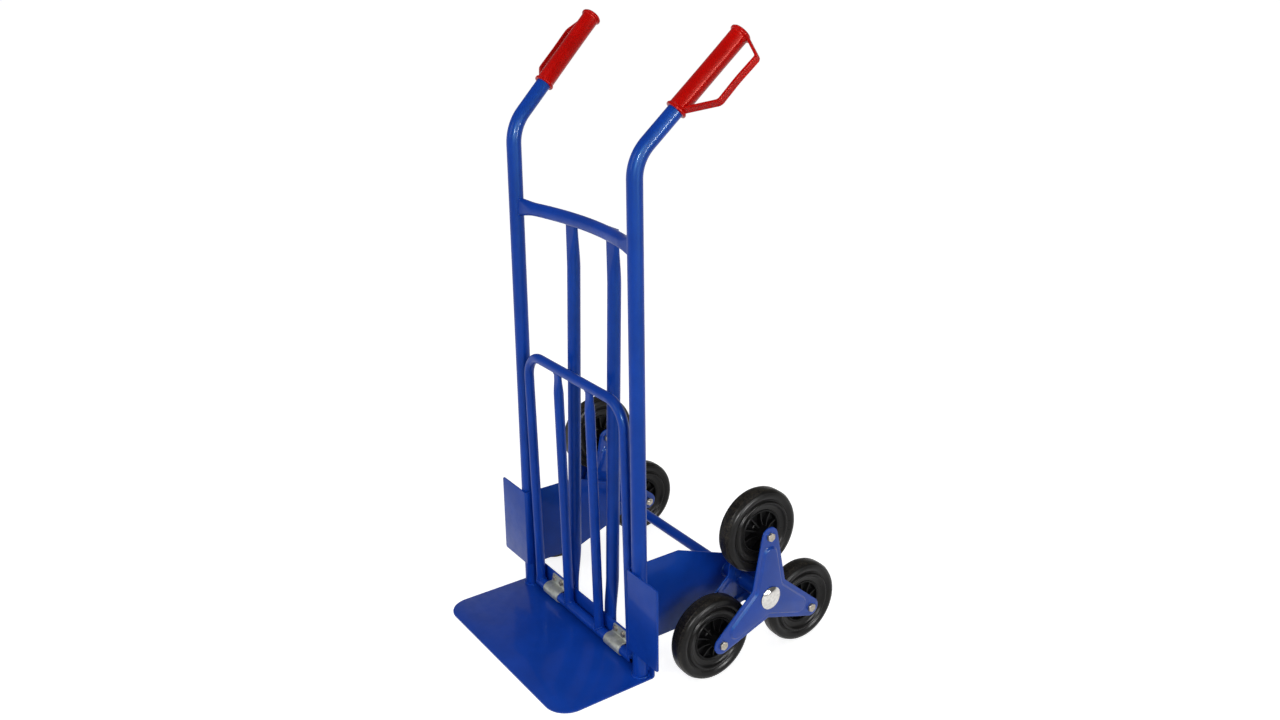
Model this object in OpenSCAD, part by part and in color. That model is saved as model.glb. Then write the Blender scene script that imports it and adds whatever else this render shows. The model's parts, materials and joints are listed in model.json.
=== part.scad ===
// Stair-climbing sack truck: two tubular rails on a steel toe plate, a load frame that folds
// down over the plate, and a three-wheeled star at each end of the axle.
// Front (the toe plate) is -Y, the operator stands at +Y, +Z is up, millimetres.

/* [Rails] */
// Distance between the centres of the two rails
rail_spacing = 400; // [380:5:420]
// Outside diameter of a rail
rail_d = 28; // [26:0.5:30]
// Wall of the rail tube
rail_wall = 2; // [1.2:0.1:3]
// Height at which a rail starts to bend backward
bend_z = 926; // [860:1:960]
// Radius of the bend, at the tube's centre
bend_r = 80; // [60:1:110]
// Angle of the handle back from upright
bend_angle = 46; // [30:1:60]
// Outward turn of each handle
handle_flare = 8; // [0:0.5:12]
// Straight length of a handle above its bend
handle_len = 229; // [200:1:260]

/* [Crossbar and slats] */
// Height of the crossbar's centre
crossbar_z = 810; // [760:1:860]
// Outside diameter of the crossbar
crossbar_d = 25; // [22:0.5:28]
// How far the crossbar bows back in its middle
crossbar_bow = 28; // [20:1:36]
// Height of the crossbar's flattened ends
crossbar_end_h = 34; // [30:1:38]
// Thickness of the crossbar's flattened ends
crossbar_end_t = 11; // [8:0.5:14]
// Length of the flattening along the crossbar
crossbar_end_len = 46; // [30:1:60]
// Distance between the centres of the two slats
slat_spacing = 136.6; // [110:0.2:160]
// Outside diameter of a slat
slat_d = 25; // [22:0.5:28]
// Width of a slat's flattened end
slat_pad_w = 35; // [30:0.5:38]
// Thickness of a slat's flattened end
slat_pad_t = 8; // [5:0.5:10]
// Length over which a slat goes from round to flat
slat_taper = 85; // [40:1:110]
// Height of a slat's top above the crossbar's centre
slat_top_over = 4; // [0:0.5:8]
// Length of a slat's upper flat end
slat_pad_len = 16; // [12:1:30]
// Distance of a slat's foot above the floor
slat_foot_z = 15; // [10:1:20]
// Height of a slat's lower flat end above the upstand
slat_foot_over = 2; // [1:0.5:12]
// How far a slat's tube stands in front of the faces that its ends are welded to
slat_set = 2; // [0:0.5:4]
// Wall of the crossbar, the slats and the folding frame's tubes
tube_wall = 1.5; // [1:0.1:2]

/* [Toe plate] */
// Width of the toe plate
toe_w = 444; // [436:1:460]
// Reach of the toe plate in front of the rails' centres
toe_reach = 188; // [160:1:220]
// Thickness of the toe plate's sheet
toe_t = 3; // [2:0.2:4]
// Radius of the two front corners
toe_corner_r = 44; // [20:1:70]
// Height of the upstand at the back of the plate
upstand_h = 54; // [50:1:62]
// Radius of the upstand's top corners
upstand_corner_r = 12; // [4:1:20]
// Inside radius of the fold below the upstand
toe_fold_r = 3; // [1:0.5:4]

/* [Side plates] */
// Thickness of a side plate's sheet
side_t = 3; // [2:0.2:4]
// Height of a side plate's lower edge
side_z0 = 56; // [48:1:62]
// Height of a side plate's upper edge
side_z1 = 219; // [195:1:230]
// Reach of the wing that shields the wheels, from the rail's centre
wing_w = 79; // [70:1:90]
// Outside radius of the fold between wing and cheek
side_fold_r = 6; // [4:0.5:8]
// Distance behind the rail's centre where the cheek starts to taper
cheek_taper_y = 98; // [80:1:120]
// Height of the cheek above the axle's centre at its rear end
cheek_end_up = 24; // [20:1:30]
// Height of the cheek below the axle's centre at its rear end
cheek_end_down = 32; // [24:1:36]
// Reach of the cheek behind the axle's centre
cheek_end_y = 28; // [22:1:34]
// Radius of the side plate's corners
side_corner_r = 5; // [2:0.5:8]

/* [Axle and stars] */
// Distance of the axle behind the rails' centres
axle_y = 213; // [205:1:230]
// Diameter of the axle
axle_d = 20; // [18:0.5:22]
// Radial running clearance of the stars on the axle and of the wheels on their tubes
running_gap = 0.08; // [0.03:0.01:0.1]
// Distance from the axle to each wheel's bolt
arm_r = 122.5; // [114:0.5:130]
// Radius of a star arm's round end
arm_end_r = 18; // [16:0.5:20]
// Radius of the circle that the star arms' edges touch at the middle
star_root_r = 42; // [38:0.5:46]
// Thickness of a star plate's sheet
star_t = 3; // [2:0.2:4]
// Width of the flat border round the raised middle of a star plate
star_border = 8; // [6:0.5:10]
// Width of the slope from that border up to the raised middle
star_slope = 4; // [2:0.5:5]
// Height of the raised middle above the border
star_raise = 4.5; // [2:0.5:5]
// Distance from the axle to the centre of the raised middle's round ends
star_raise_r = 86; // [80:1:90]
// Width of the rounded edge of a star plate
star_edge = 2; // [1:0.5:3]
// Distance between the two plates of one star
star_gap = 69; // [64:0.5:74]
// Distance from the middle of a rail to the middle of a wheel
wheel_offset = 70.5; // [68:0.5:76]
// Outside diameter of a star's hub tube
hub_tube_d = 28; // [26:0.5:32]
// Outside diameter of the spacer between side plate and star
spacer_d = 26; // [24:0.5:32]
// Outside diameter of the axle's washers
axle_washer_d = 34; // [30:0.5:38]
// Thickness of the axle's washers
axle_washer_t = 1.6; // [1:0.1:2]
// End play of a star between its washers, each side
star_play = 0.3; // [0.2:0.05:0.4]
// Diameter of the domed hub cap
cap_d = 44.5; // [40:0.5:48]
// Height of the whole hub cap
cap_h = 8.5; // [8:0.5:13]
// Height of the hub cap's straight skirt
cap_skirt = 2.5; // [2:0.5:4]
// Width of the small step between the hub cap's skirt and its dome
cap_step = 0.5; // [0.3:0.1:1]
// Wall of the hub cap
cap_t = 1; // [0.8:0.1:1.5]
// How far the axle's end reaches into the hub cap
cap_seat = 5; // [3:0.5:5.5]

/* [Wheels] */
// Outside diameter of a wheel
wheel_d = 160; // [150:1:166]
// Width of the tyre
tyre_w = 36; // [32:0.5:40]
// Radius of the tyre's tread shoulder
tread_r = 9; // [6:0.5:11]
// Width of the groove in the tread
groove_w = 1.6; // [1:0.1:3]
// Depth of the groove in the tread
groove_depth = 1.5; // [0.5:0.1:3]
// Radius at which the tyre sits on the rim
rim_r = 42; // [38:0.5:46]
// Radius of the raised ring on the tyre's side
side_ring_r = 57; // [54:0.5:60]
// Width of the rim's barrel
rim_w = 24; // [20:0.5:26]
// Thickness of the rim's barrel and web
rim_wall = 4; // [3:0.5:5]
// Distance of a wheel's hub inside the round end of its star arm
hub_clear = 5; // [3:0.5:6]
// Number of ribs on each side of the rim
rib_count = 10; // [6:1:14]
// Thickness of a rib
rib_t = 2.6; // [2:0.1:4]
// Distance of a rib's edge inside the end of the rim's barrel
rib_inset = 2; // [1:0.5:4]
// End play of a wheel's hub between the star plates, each side
hub_play = 0.5; // [0.3:0.1:1]
// Outside diameter of the tube that a wheel turns on
bush_d = 16; // [14:0.5:18]
// Nominal diameter of a wheel bolt
wheel_bolt_d = 10; // [8:0.5:12]
// Width across flats of a wheel bolt's head and nut
wheel_bolt_af = 15; // [14:0.5:17]
// Height of a wheel bolt's head
wheel_bolt_head = 5; // [4:0.2:7]
// Height of a wheel bolt's nut
wheel_nut_h = 7; // [5:0.2:8]

/* [Folding frame] */
// Height of the hinge tube's centre
hinge_z = 20; // [18:0.5:22]
// Gap between the hinge tube and the upstand
hinge_gap = 1; // [0.6:0.1:2]
// Outside diameter of the hinge tube
hinge_tube_d = 20; // [20:0.5:23]
// How far the hinge tube reaches past the centre of each leg of the hoop
hinge_over = 6; // [4:0.5:8]
// Outside diameter of the hoop and its two bars
hoop_d = 19; // [18:0.5:20]
// Distance from the hinge to the centre of the hoop's top
hoop_h = 505; // [460:1:540]
// Gap between a leg of the hoop and the cheek beside it
hoop_gap = 6.5; // [3:0.5:9]
// Radius of the hoop's corners, at the tube's centre
hoop_corner_r = 48; // [30:1:60]
// Distance between the centres of the two inner bars
bar_spacing = 110.4; // [90:0.2:124]
// Width of a bar's flattened top
bar_pad_w = 21; // [18:0.5:26]
// Thickness of a bar's flattened top
bar_pad_t = 8; // [6:0.5:10]
// Length of that flattened top below the hoop
bar_pad_len = 8; // [4:1:16]
// Length over which a bar goes from round to flat
bar_taper = 34; // [20:1:50]
// Forward lean of the folded-up frame
frame_lean = 1.1; // [0:0.1:2]
// Width of a hinge strap
strap_w = 52; // [48:1:58]
// Distance from the centre of the hoop's leg to the centre of the strap beside it
strap_inset = 54; // [52:0.5:58]
// Thickness of a hinge strap's sheet
strap_t = 2; // [1.5:0.1:2.5]
// Radial clearance of the hinge tube in its straps
strap_gap = 0.1; // [0.05:0.01:0.1]
// Distance of a strap's bolts above the flat over the hinge tube
strap_bolt_rise = 11; // [9:0.5:13]
// Height of a strap's ear above its bolts
strap_ear_over = 9; // [7:0.5:11]
// Narrowing of the ear's top on each side
strap_ear_in = 6; // [2:0.5:8]
// Slope of the ear's sides
strap_ear_slope = 15; // [0:1:30]
// Distance between the two bolts of a strap
strap_bolt_pitch = 26; // [22:0.5:28]
// Nominal diameter of a strap's bolts
strap_bolt_d = 6; // [5:0.5:7]
// Width across flats of a strap bolt's head and nut
strap_bolt_af = 10; // [9:0.5:11]
// Height of a strap bolt's head
strap_bolt_head = 4; // [3:0.2:4.6]
// Height of a strap bolt's nut
strap_nut_h = 5; // [4:0.2:6]

/* [Grips] */
// Wall of a grip's sleeve
grip_wall = 2.6; // [2:0.1:4]
// Length of a grip without its dome
grip_len = 170; // [150:1:185]
// Distance from the bend's end to the grip's collar
grip_start = 69; // [50:1:80]
// Diameter of the collar at the grip's lower end
collar_d = 38; // [36:0.5:42]
// Length of that collar
collar_len = 5; // [4:0.5:8]
// Diameter of the grip's end cap
end_cap_d = 39; // [37:0.5:43]
// Length of the end cap's rim
end_cap_len = 6; // [4:0.5:8]
// Height of the end cap's dome
end_dome = 4; // [2:0.5:6]
// Distance of the hand guard from the grip's centre
guard_reach = 68; // [56:1:76]
// Thickness of the guard's strip
guard_t = 5; // [4:0.5:6]
// Width of the guard's strip
guard_w = 14; // [10:0.5:18]
// Distance of the guard's lower corner from the collar
guard_low = 46; // [36:1:54]
// Distance of the guard's upper corner from the collar
guard_high = 141; // [130:1:150]
// Distance of the guard's two roots from the collar and from the end cap
guard_root = 3; // [2:0.5:6]
// Turn of the guard down from straight outward
guard_turn = 17; // [0:1:30]

/* [Hidden] */
$fn = 64;
touch = 0.01;
// how far a cut runs past the faces that it opens
cut = 1;
// thread that a bolt shows past its nut
thread_over = 2;
// sides of a tube that is skinned through rings
ring_sides = 32;
// where two shapes of one tube meet, one is larger by a step and takes in the other's end
step = 0.15;
sink = 0.3;
bend_step = 0.05;
bend_sink = 1;
blue = "royalblue";
steel = "silver";
soft_black = "dimgray";
half_rail = rail_spacing / 2;
rail_r = rail_d / 2;
// rear face of the rails and front face of the upstand lie in one plane
upstand_y = rail_r;
hinge_y = upstand_y - hinge_gap - hinge_tube_d / 2;
// the two lower wheels stand on the floor
axle_z = wheel_d / 2 + arm_r / 2;
// a cheek lies against the inner side of its rail
cheek_x = half_rail - rail_r - side_t;
wing_y = -rail_r - side_t;
wheel_x = half_rail + wheel_offset;
star_out_x = wheel_x + star_gap / 2;
star_in_x = wheel_x - star_gap / 2;
star_deep = star_t + star_raise;
cap_x = star_out_x + star_deep + star_play;
washer_x = star_in_x - star_deep - star_play;
axle_half = cap_x + cap_seat;
bush_r = bush_d / 2;
hub_half = star_gap / 2 - hub_play;
arm_angles = [90, 210, 330];
// crossbar: arc through both rails that bows back in the middle
bow_half = half_rail - rail_r / 2;
bow_r = (bow_half * bow_half + crossbar_bow * crossbar_bow) / (2 * crossbar_bow);
bow_angle = asin(bow_half / bow_r);
slat_x = slat_spacing / 2;
slat_top_y = crossbar_bow - bow_r + sqrt(bow_r * bow_r - slat_x * slat_x) + crossbar_d / 2;
slat_foot_y = upstand_y + toe_t;
slat_foot_top = upstand_h + slat_foot_over;
slat_low_y = slat_foot_y + slat_d / 2 - slat_set;
slat_high_y = slat_top_y + slat_pad_t / 2 + slat_set;
hoop_w = 2 * (cheek_x - hoop_gap - hoop_d / 2);
hinge_tube_len = hoop_w + 2 * hinge_over;
strap_x = hoop_w / 2 - strap_inset;
strap_bolt_z = hinge_z + hinge_tube_d / 2 + strap_gap + strap_t + strap_bolt_rise;
strap_ear_top = strap_bolt_z + strap_ear_over;
// a wheel's hub stays inside the round ends of the star's arms
rim_hub_r = arm_end_r - hub_clear;
// the origin is below the middle of the bounding box
front_y = -toe_reach;
rear_y = axle_y + arm_r * cos(30) + wheel_d / 2;
origin_y = (front_y + rear_y) / 2;
grip_r = rail_r + grip_wall;

// ---- helpers ----

// Moves the rails' frame to the part's own origin
module place() {
    translate([0, -origin_y, 0]) children();
}

// Left is +X as the operator sees it; right is its mirror image
module at_side(side) {
    if (side > 0) place() children();
    else place() mirror([1, 0, 0]) children();
}

// Round bar along +X between two places
module bar_x(x0, x1, r) {
    translate([x0, 0, 0]) rotate([0, 90, 0]) cylinder(h = x1 - x0, r = r);
}

// Hexagon prism along +X
module hex_x(x0, x1, across) {
    translate([x0, 0, 0]) rotate([0, 90, 0]) cylinder(h = x1 - x0, d = across / cos(30), $fn = 6);
}

// Extrudes a drawing of the YZ plane along +X
module along_x(x0, x1) {
    translate([x0, 0, 0]) rotate([90, 0, 90]) linear_extrude(x1 - x0) children();
}

// Flat end of a tube: a slot-shaped section with round sides, wide along X
module pad(w, t, h) {
    linear_extrude(h) {
        square([w - t, t], center = true);
        for (s = [-1, 1]) translate([s * (w - t) / 2, 0]) circle(d = t, $fn = 32);
    }
}

// Blend from a round tube of radius r at z0 to a pad at z1
module flatten(z0, y0, r, z1, y1, w, t) {
    hull() {
        translate([0, y0, z0]) cylinder(h = touch, r = r + step, $fn = 32);
        translate([0, y1, z1]) pad(w + 2 * step, t + 2 * step, touch);
    }
}

// ---- rails and grips ----

// Places children in the handle's frame: origin at the end of the bend, Z along the handle
module on_handle() {
    translate([half_rail, 0, bend_z]) rotate([0, 0, -handle_flare])
        translate([0, bend_r * (1 - cos(bend_angle)), bend_r * sin(bend_angle)])
            rotate([-bend_angle, 0, 0]) children();
}

// One rail as a solid round bar, with both ends longer by a distance
module rail_path(r, over) {
    translate([half_rail, 0, toe_t - over]) cylinder(h = bend_z + bend_sink - toe_t + over, r = r);
    translate([half_rail, 0, bend_z]) rotate([0, 0, -handle_flare]) translate([0, bend_r, 0])
        rotate([90, 0, -90]) rotate_extrude(angle = bend_angle)
            translate([bend_r, 0]) circle(r = r + bend_step);
    on_handle() translate([0, 0, -bend_sink]) cylinder(h = handle_len + bend_sink + over, r = r);
}

module rail(side) {
    color(blue) at_side(side) difference() {
        rail_path(rail_r, 0);
        rail_path(rail_r - rail_wall, cut);
        // the rail's foot makes room for the inside radius of the toe plate's fold
        translate([half_rail - rail_d, upstand_y - toe_fold_r, 0])
            cube([2 * rail_d, rail_d, toe_t + toe_fold_r]);
    }
}

// Straight piece of guard strip between two points of its plane
module guard_leg(a, b) {
    run = norm(b - a);
    translate(a) rotate(atan2(b[1] - a[1], b[0] - a[0]))
        translate([0, -guard_t / 2]) square([run, guard_t]);
}

// Outline of the guard: distance from the grip's centre against distance from the collar
module guard_outline() {
    middle = guard_reach - guard_t / 2;
    path = [
        [rail_r + grip_wall / 2, collar_len + guard_root], [middle, guard_low],
        [middle, guard_high], [rail_r + grip_wall / 2, grip_len - guard_root]
    ];
    for (i = [0 : len(path) - 2]) guard_leg(path[i], path[i + 1]);
    for (p = path) translate(p) circle(d = guard_t + 2 * step);
}

module grip(side) {
    color("firebrick") at_side(side) on_handle() translate([0, 0, grip_start]) difference() {
        union() {
            cylinder(h = grip_len, r = grip_r);
            cylinder(h = collar_len, d = collar_d);
            translate([0, 0, grip_len - end_cap_len]) cylinder(h = end_cap_len, d = end_cap_d);
            translate([0, 0, grip_len])
                cylinder(h = end_dome, d1 = end_cap_d - 2, d2 = end_cap_d - 4 * end_dome);
            rotate([0, 0, guard_turn]) rotate([90, 0, 0])
                linear_extrude(guard_w, center = true) guard_outline();
        }
        translate([0, 0, -cut]) cylinder(h = handle_len - grip_start + cut, r = rail_r);
    }
}

// ---- crossbar and slats ----

// The crossbar's bowed centre line as a round bar
module bowed_bar(r, half_angle) {
    translate([0, crossbar_bow - bow_r, crossbar_z]) rotate([0, 0, 90 - half_angle])
        rotate_extrude(angle = 2 * half_angle) translate([bow_r, 0]) circle(r = r);
}

// Slice of the bowed bar at an angle from its middle: full circle or flattened
module bow_slice(angle, w, t) {
    translate([0, crossbar_bow - bow_r, crossbar_z]) rotate([0, 0, -angle]) translate([0, bow_r, 0])
        rotate([0, 90, 0]) pad(w, t, touch);
}

// The crossbar with both flattened ends, drawn in by an inset
module crossbar_shape(inset) {
    round_angle = bow_angle - asin(crossbar_end_len / bow_r);
    width = crossbar_d - 2 * inset;
    bowed_bar(width / 2, round_angle + asin(sink / bow_r));
    for (s = [-1, 1]) hull() {
        bow_slice(s * round_angle, width + 2 * step, width + 2 * step - touch);
        bow_slice(s * bow_angle, crossbar_end_h - 2 * inset, crossbar_end_t - 2 * inset);
    }
}

module crossbar() {
    color(blue) place() difference() {
        crossbar_shape(0);
        crossbar_shape(tube_wall);
        for (s = [-1, 1]) translate([s * half_rail, 0, crossbar_z - crossbar_end_h])
            cylinder(h = 2 * crossbar_end_h, r = rail_r);
    }
}

// Points of a level slot-shaped ring, w by t, at (y, z); a round one has w equal to t
function slot_ring(y, z, w, t) = [
    for (i = [0 : ring_sides - 1]) let (a = 360 * (i + 0.5) / ring_sides)
        [(w - t) / 2 * sign(cos(a)) + t / 2 * cos(a), y + t / 2 * sin(a), z]
];

// Closed solid through a stack of rings
module skin(rings) {
    n = ring_sides;
    top = len(rings) - 1;
    polyhedron(
        points = [for (ring = rings) each ring],
        faces = concat(
            [[for (i = [0 : n - 1]) i], [for (i = [n - 1 : -1 : 0]) top * n + i]],
            [for (k = [0 : top - 1], i = [0 : n - 1])
                [k * n + i, (k + 1) * n + i, (k + 1) * n + (i + 1) % n, k * n + (i + 1) % n]]
        )
    );
}

// A slat drawn in by an inset, with both ends longer by a distance
module slat_shape(inset, over) {
    top = crossbar_z + slat_top_over;
    pad_low = top - slat_pad_len;
    d = slat_d - 2 * inset;
    w = slat_pad_w - 2 * inset;
    t = slat_pad_t - 2 * inset;
    foot_y = slat_foot_y + slat_pad_t / 2;
    top_y = slat_top_y + slat_pad_t / 2;
    translate([slat_x, 0, 0]) skin([
        slot_ring(foot_y, slat_foot_z - over, w, t),
        slot_ring(foot_y, slat_foot_top, w, t),
        slot_ring(slat_low_y, slat_foot_top + slat_taper, d, d),
        slot_ring(slat_high_y, pad_low - slat_taper, d, d),
        slot_ring(top_y, pad_low, w, t),
        slot_ring(top_y, top + over, w, t)
    ]);
}

module slat(side) {
    color(blue) at_side(side) difference() {
        slat_shape(0, 0);
        slat_shape(tube_wall, cut);
        bowed_bar(crossbar_d / 2, bow_angle);
    }
}

// ---- toe plate and side plates ----

module toe_plate() {
    front = toe_reach - toe_corner_r;
    fold_out = toe_fold_r + toe_t;
    back = upstand_y + toe_t;
    color(blue) place() {
        linear_extrude(toe_t) {
            translate([-toe_w / 2, -front]) square([toe_w, front + back - fold_out]);
            translate([-toe_w / 2 + toe_corner_r, -toe_reach])
                square([toe_w - 2 * toe_corner_r, toe_corner_r]);
            for (s = [-1, 1]) translate([s * (toe_w / 2 - toe_corner_r), -front]) circle(toe_corner_r);
        }
        along_x(-toe_w / 2, toe_w / 2) translate([back - fold_out, fold_out]) difference() {
            circle(fold_out);
            circle(toe_fold_r);
            translate([-2 * fold_out, -2 * fold_out]) square([2 * fold_out, 4 * fold_out]);
            translate([-2 * fold_out, 0]) square([4 * fold_out, 2 * fold_out]);
        }
        translate([0, back, 0]) rotate([90, 0, 0]) linear_extrude(toe_t) difference() {
            union() {
                translate([-toe_w / 2, fold_out])
                    square([toe_w, upstand_h - fold_out - upstand_corner_r]);
                translate([-toe_w / 2 + upstand_corner_r, fold_out])
                    square([toe_w - 2 * upstand_corner_r, upstand_h - fold_out]);
                for (s = [-1, 1])
                    translate([s * (toe_w / 2 - upstand_corner_r), upstand_h - upstand_corner_r])
                        circle(upstand_corner_r);
            }
            for (side = [-1, 1], s = [-1, 1])
                translate([side * strap_x + s * strap_bolt_pitch / 2, strap_bolt_z])
                    circle(d = strap_bolt_d);
        }
    }
}

// Rectangle with one pair of round corners, at its +X end
module round_end(w, h, r) {
    square([w - r, h]);
    translate([0, r]) square([w, h - 2 * r]);
    for (y = [r, h - r]) translate([w - r, y]) circle(r);
}

// Side outline of a cheek behind its fold
module cheek_outline() {
    rear = axle_y + cheek_end_y;
    low = axle_z - cheek_end_down;
    high = axle_z + cheek_end_up;
    r = side_corner_r;
    polygon([
        [wing_y + side_fold_r, side_z0], [cheek_taper_y, side_z0], [rear - r, low + r / 4],
        [rear, low + r], [rear, high - r], [rear - r, high - r / 4], [cheek_taper_y, side_z1],
        [wing_y + side_fold_r, side_z1]
    ]);
}

module side_plate(side) {
    fold_x = cheek_x + side_fold_r;
    color(blue) at_side(side) difference() {
        union() {
            translate([fold_x, wing_y + side_t, side_z0]) rotate([90, 0, 0]) linear_extrude(side_t)
                round_end(half_rail + wing_w - fold_x, side_z1 - side_z0, side_corner_r);
            translate([fold_x, wing_y + side_fold_r, side_z0]) linear_extrude(side_z1 - side_z0)
                difference() {
                    circle(side_fold_r);
                    circle(side_fold_r - side_t);
                    translate([0, -2 * side_fold_r]) square(4 * side_fold_r);
                    translate([-2 * side_fold_r, 0]) square(4 * side_fold_r);
                }
            along_x(cheek_x, cheek_x + side_t) cheek_outline();
        }
        translate([0, axle_y, axle_z]) bar_x(cheek_x - cut, cheek_x + side_t + cut, axle_d / 2);
        // the cheek's lower edge straddles the upstand
        translate([cheek_x - cut, upstand_y, 0]) cube([side_t + 2 * cut, toe_t, upstand_h]);
    }
}

// ---- axle ----

module on_axle() {
    translate([0, axle_y, axle_z]) children();
}

// Ring on the axle between two places
module axle_ring(x0, x1, outer_r, bore_r) {
    on_axle() difference() {
        bar_x(x0, x1, outer_r);
        bar_x(x0 - cut, x1 + cut, bore_r);
    }
}

module axle() {
    color(blue) place() on_axle() bar_x(-axle_half, axle_half, axle_d / 2);
}

module axle_spacer(side) {
    color(blue) at_side(side)
        axle_ring(cheek_x + side_t, washer_x - axle_washer_t, spacer_d / 2, axle_d / 2);
}

module axle_washers() {
    color(steel) for (side = [-1, 1]) at_side(side)
        axle_ring(washer_x - axle_washer_t, washer_x, axle_washer_d / 2, axle_d / 2);
}

// Domed cap pressed on the axle's end
module hub_cap(side) {
    dome_h = cap_h - cap_skirt;
    dome_base = cap_d / 2 - cap_step;
    dome_r = (dome_base * dome_base + dome_h * dome_h) / (2 * dome_h);
    color("white") at_side(side) on_axle() translate([cap_x, 0, 0]) rotate([0, 90, 0])
        rotate_extrude() difference() {
            union() {
                square([cap_d / 2, cap_skirt]);
                intersection() {
                    translate([0, cap_h - dome_r]) circle(dome_r, $fn = 128);
                    translate([0, cap_skirt - sink]) square([cap_d / 2, dome_h + sink]);
                }
            }
            translate([axle_d / 2 + cap_t, -cut])
                square([cap_d / 2 - axle_d / 2 - 2 * cap_t, cap_skirt - cap_t + cut]);
            translate([0, -cut]) square([axle_d / 2, cap_seat + cut]);
        }
}

// ---- stars ----

// Outline of a star drawn in by an inset, its arms ending round a reach; X is forward-back, Y is up
module star_outline(inset, reach = arm_r) {
    root = star_root_r - inset;
    tip = star_root_r - (star_root_r - arm_end_r) * reach / arm_r - inset;
    slope = asin((root - tip) / reach);
    circle(root);
    for (a = arm_angles) rotate(a) {
        translate([reach, 0]) circle(tip);
        polygon([
            root * [sin(slope), cos(slope)], [reach + tip * sin(slope), tip * cos(slope)],
            [reach + tip * sin(slope), -tip * cos(slope)], root * [sin(slope), -cos(slope)]
        ]);
    }
}

// Pressed plate with the back of its border at the origin and its face at +X
module star_plate() {
    edge = star_edge / 2;
    top = star_border + star_slope;
    difference() {
        union() {
            along_x(0, star_t - edge) star_outline(0);
            along_x(star_t - edge, star_t) star_outline(edge);
            along_x(0, star_t + star_raise / 2) star_outline(star_border, star_raise_r);
            along_x(0, star_deep) star_outline(top, star_raise_r);
        }
        along_x(-cut, star_raise) star_outline(top + star_t, star_raise_r);
        bar_x(-cut, star_deep + cut, axle_d / 2 + running_gap);
        for (a = arm_angles) translate([0, arm_r * cos(a), arm_r * sin(a)])
            bar_x(-cut, star_t + cut, wheel_bolt_d / 2);
    }
}

module outer_star_plate(side) {
    color(blue) at_side(side) on_axle() translate([star_out_x, 0, 0]) star_plate();
}

module inner_star_plate(side) {
    color(blue) at_side(side) on_axle() translate([star_in_x, 0, 0]) mirror([1, 0, 0]) star_plate();
}

module hub_tube(side) {
    color(blue) at_side(side)
        axle_ring(star_in_x - star_raise, star_out_x + star_raise,
            hub_tube_d / 2, axle_d / 2 + running_gap);
}

// Places children at each wheel's centre
module at_wheels() {
    for (a = arm_angles) at_wheel(a) children();
}

module at_wheel(a) {
    translate([wheel_x, axle_y + arm_r * cos(a), axle_z + arm_r * sin(a)]) children();
}

module wheel_bolts(side) {
    face = star_gap / 2 + star_t;
    color(steel) at_side(side) at_wheels() {
        bar_x(-face - wheel_nut_h - thread_over, face, wheel_bolt_d / 2);
        hex_x(face, face + wheel_bolt_head, wheel_bolt_af);
    }
}

module wheel_nuts(side) {
    face = star_gap / 2 + star_t;
    color(steel) at_side(side) at_wheels() difference() {
        hex_x(-face - wheel_nut_h, -face, wheel_bolt_af);
        bar_x(-face - wheel_nut_h - cut, -face + cut, wheel_bolt_d / 2);
    }
}

// Tubes clamped between the star plates by the bolts; the wheels turn on them
module wheel_tubes(side) {
    color(steel) at_side(side) at_wheels() difference() {
        bar_x(-star_gap / 2, star_gap / 2, bush_r);
        bar_x(-star_gap / 2 - cut, star_gap / 2 + cut, wheel_bolt_d / 2);
    }
}

// ---- wheels ----

// Turns a drawing of radius (X) against width (Y) round the wheel's axis
module spin() {
    rotate([0, 90, 0]) rotate_extrude($fn = 96) children();
}

// One half of the tyre's section, outward side up
module tyre_half() {
    half = tyre_w / 2;
    out = wheel_d / 2;
    lip = rim_w / 2 - 1;
    // tread and shoulder
    square([out, half - tread_r]);
    translate([out - tread_r, half - tread_r]) circle(tread_r, $fn = 96);
    square([out - tread_r, half - 1]);
    // raised side between the ring and the shoulder
    translate([side_ring_r, 0]) square([out - tread_r - 2 - side_ring_r, half]);
    // slope from the ring down to the rim
    polygon([
        [0, 0], [side_ring_r, 0], [side_ring_r, half - 0.5], [side_ring_r - 1.5, half - 1],
        [rim_r + 2, lip], [0, lip]
    ]);
}

module tyre(side, a) {
    groove_y = -tyre_w / 4;
    color(soft_black) at_side(side) at_wheel(a) spin() difference() {
        union() {
            tyre_half();
            mirror([0, 1]) tyre_half();
        }
        translate([0, -tyre_w]) square([rim_r, 2 * tyre_w]);
        translate([wheel_d / 2 - groove_depth, groove_y - groove_w / 2])
            square([2 * groove_depth, groove_w]);
    }
}

module rim(side, a) {
    web = rim_wall / 2;
    color("black") at_side(side) at_wheel(a) difference() {
        union() {
            spin() {
                translate([rim_r - rim_wall, -rim_w / 2]) square([rim_wall, rim_w]);
                translate([rim_hub_r - touch, -web])
                    square([rim_r - rim_wall - rim_hub_r + 2 * touch, rim_wall]);
                translate([0, -hub_half]) square([rim_hub_r, 2 * hub_half]);
            }
            for (i = [0 : rib_count - 1]) rotate([i * 360 / rib_count, 0, 0])
                translate([-rim_w / 2 + rib_inset, rim_hub_r - cut, -rib_t / 2])
                    cube([rim_w - 2 * rib_inset, rim_r - rim_wall - rim_hub_r + 2 * cut, rib_t]);
        }
        bar_x(-hub_half - cut, hub_half + cut, bush_r + running_gap);
    }
}

// ---- folding frame ----

// The folding frame's own frame: origin on the hinge, Z up its legs
module on_hinge() {
    translate([0, hinge_y, hinge_z]) rotate([frame_lean, 0, 0]) children();
}

module hinge_tube() {
    color(blue) place() on_hinge() difference() {
        bar_x(-hinge_tube_len / 2, hinge_tube_len / 2, hinge_tube_d / 2);
        bar_x(-hinge_tube_len, hinge_tube_len, hinge_tube_d / 2 - tube_wall);
    }
}

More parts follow.
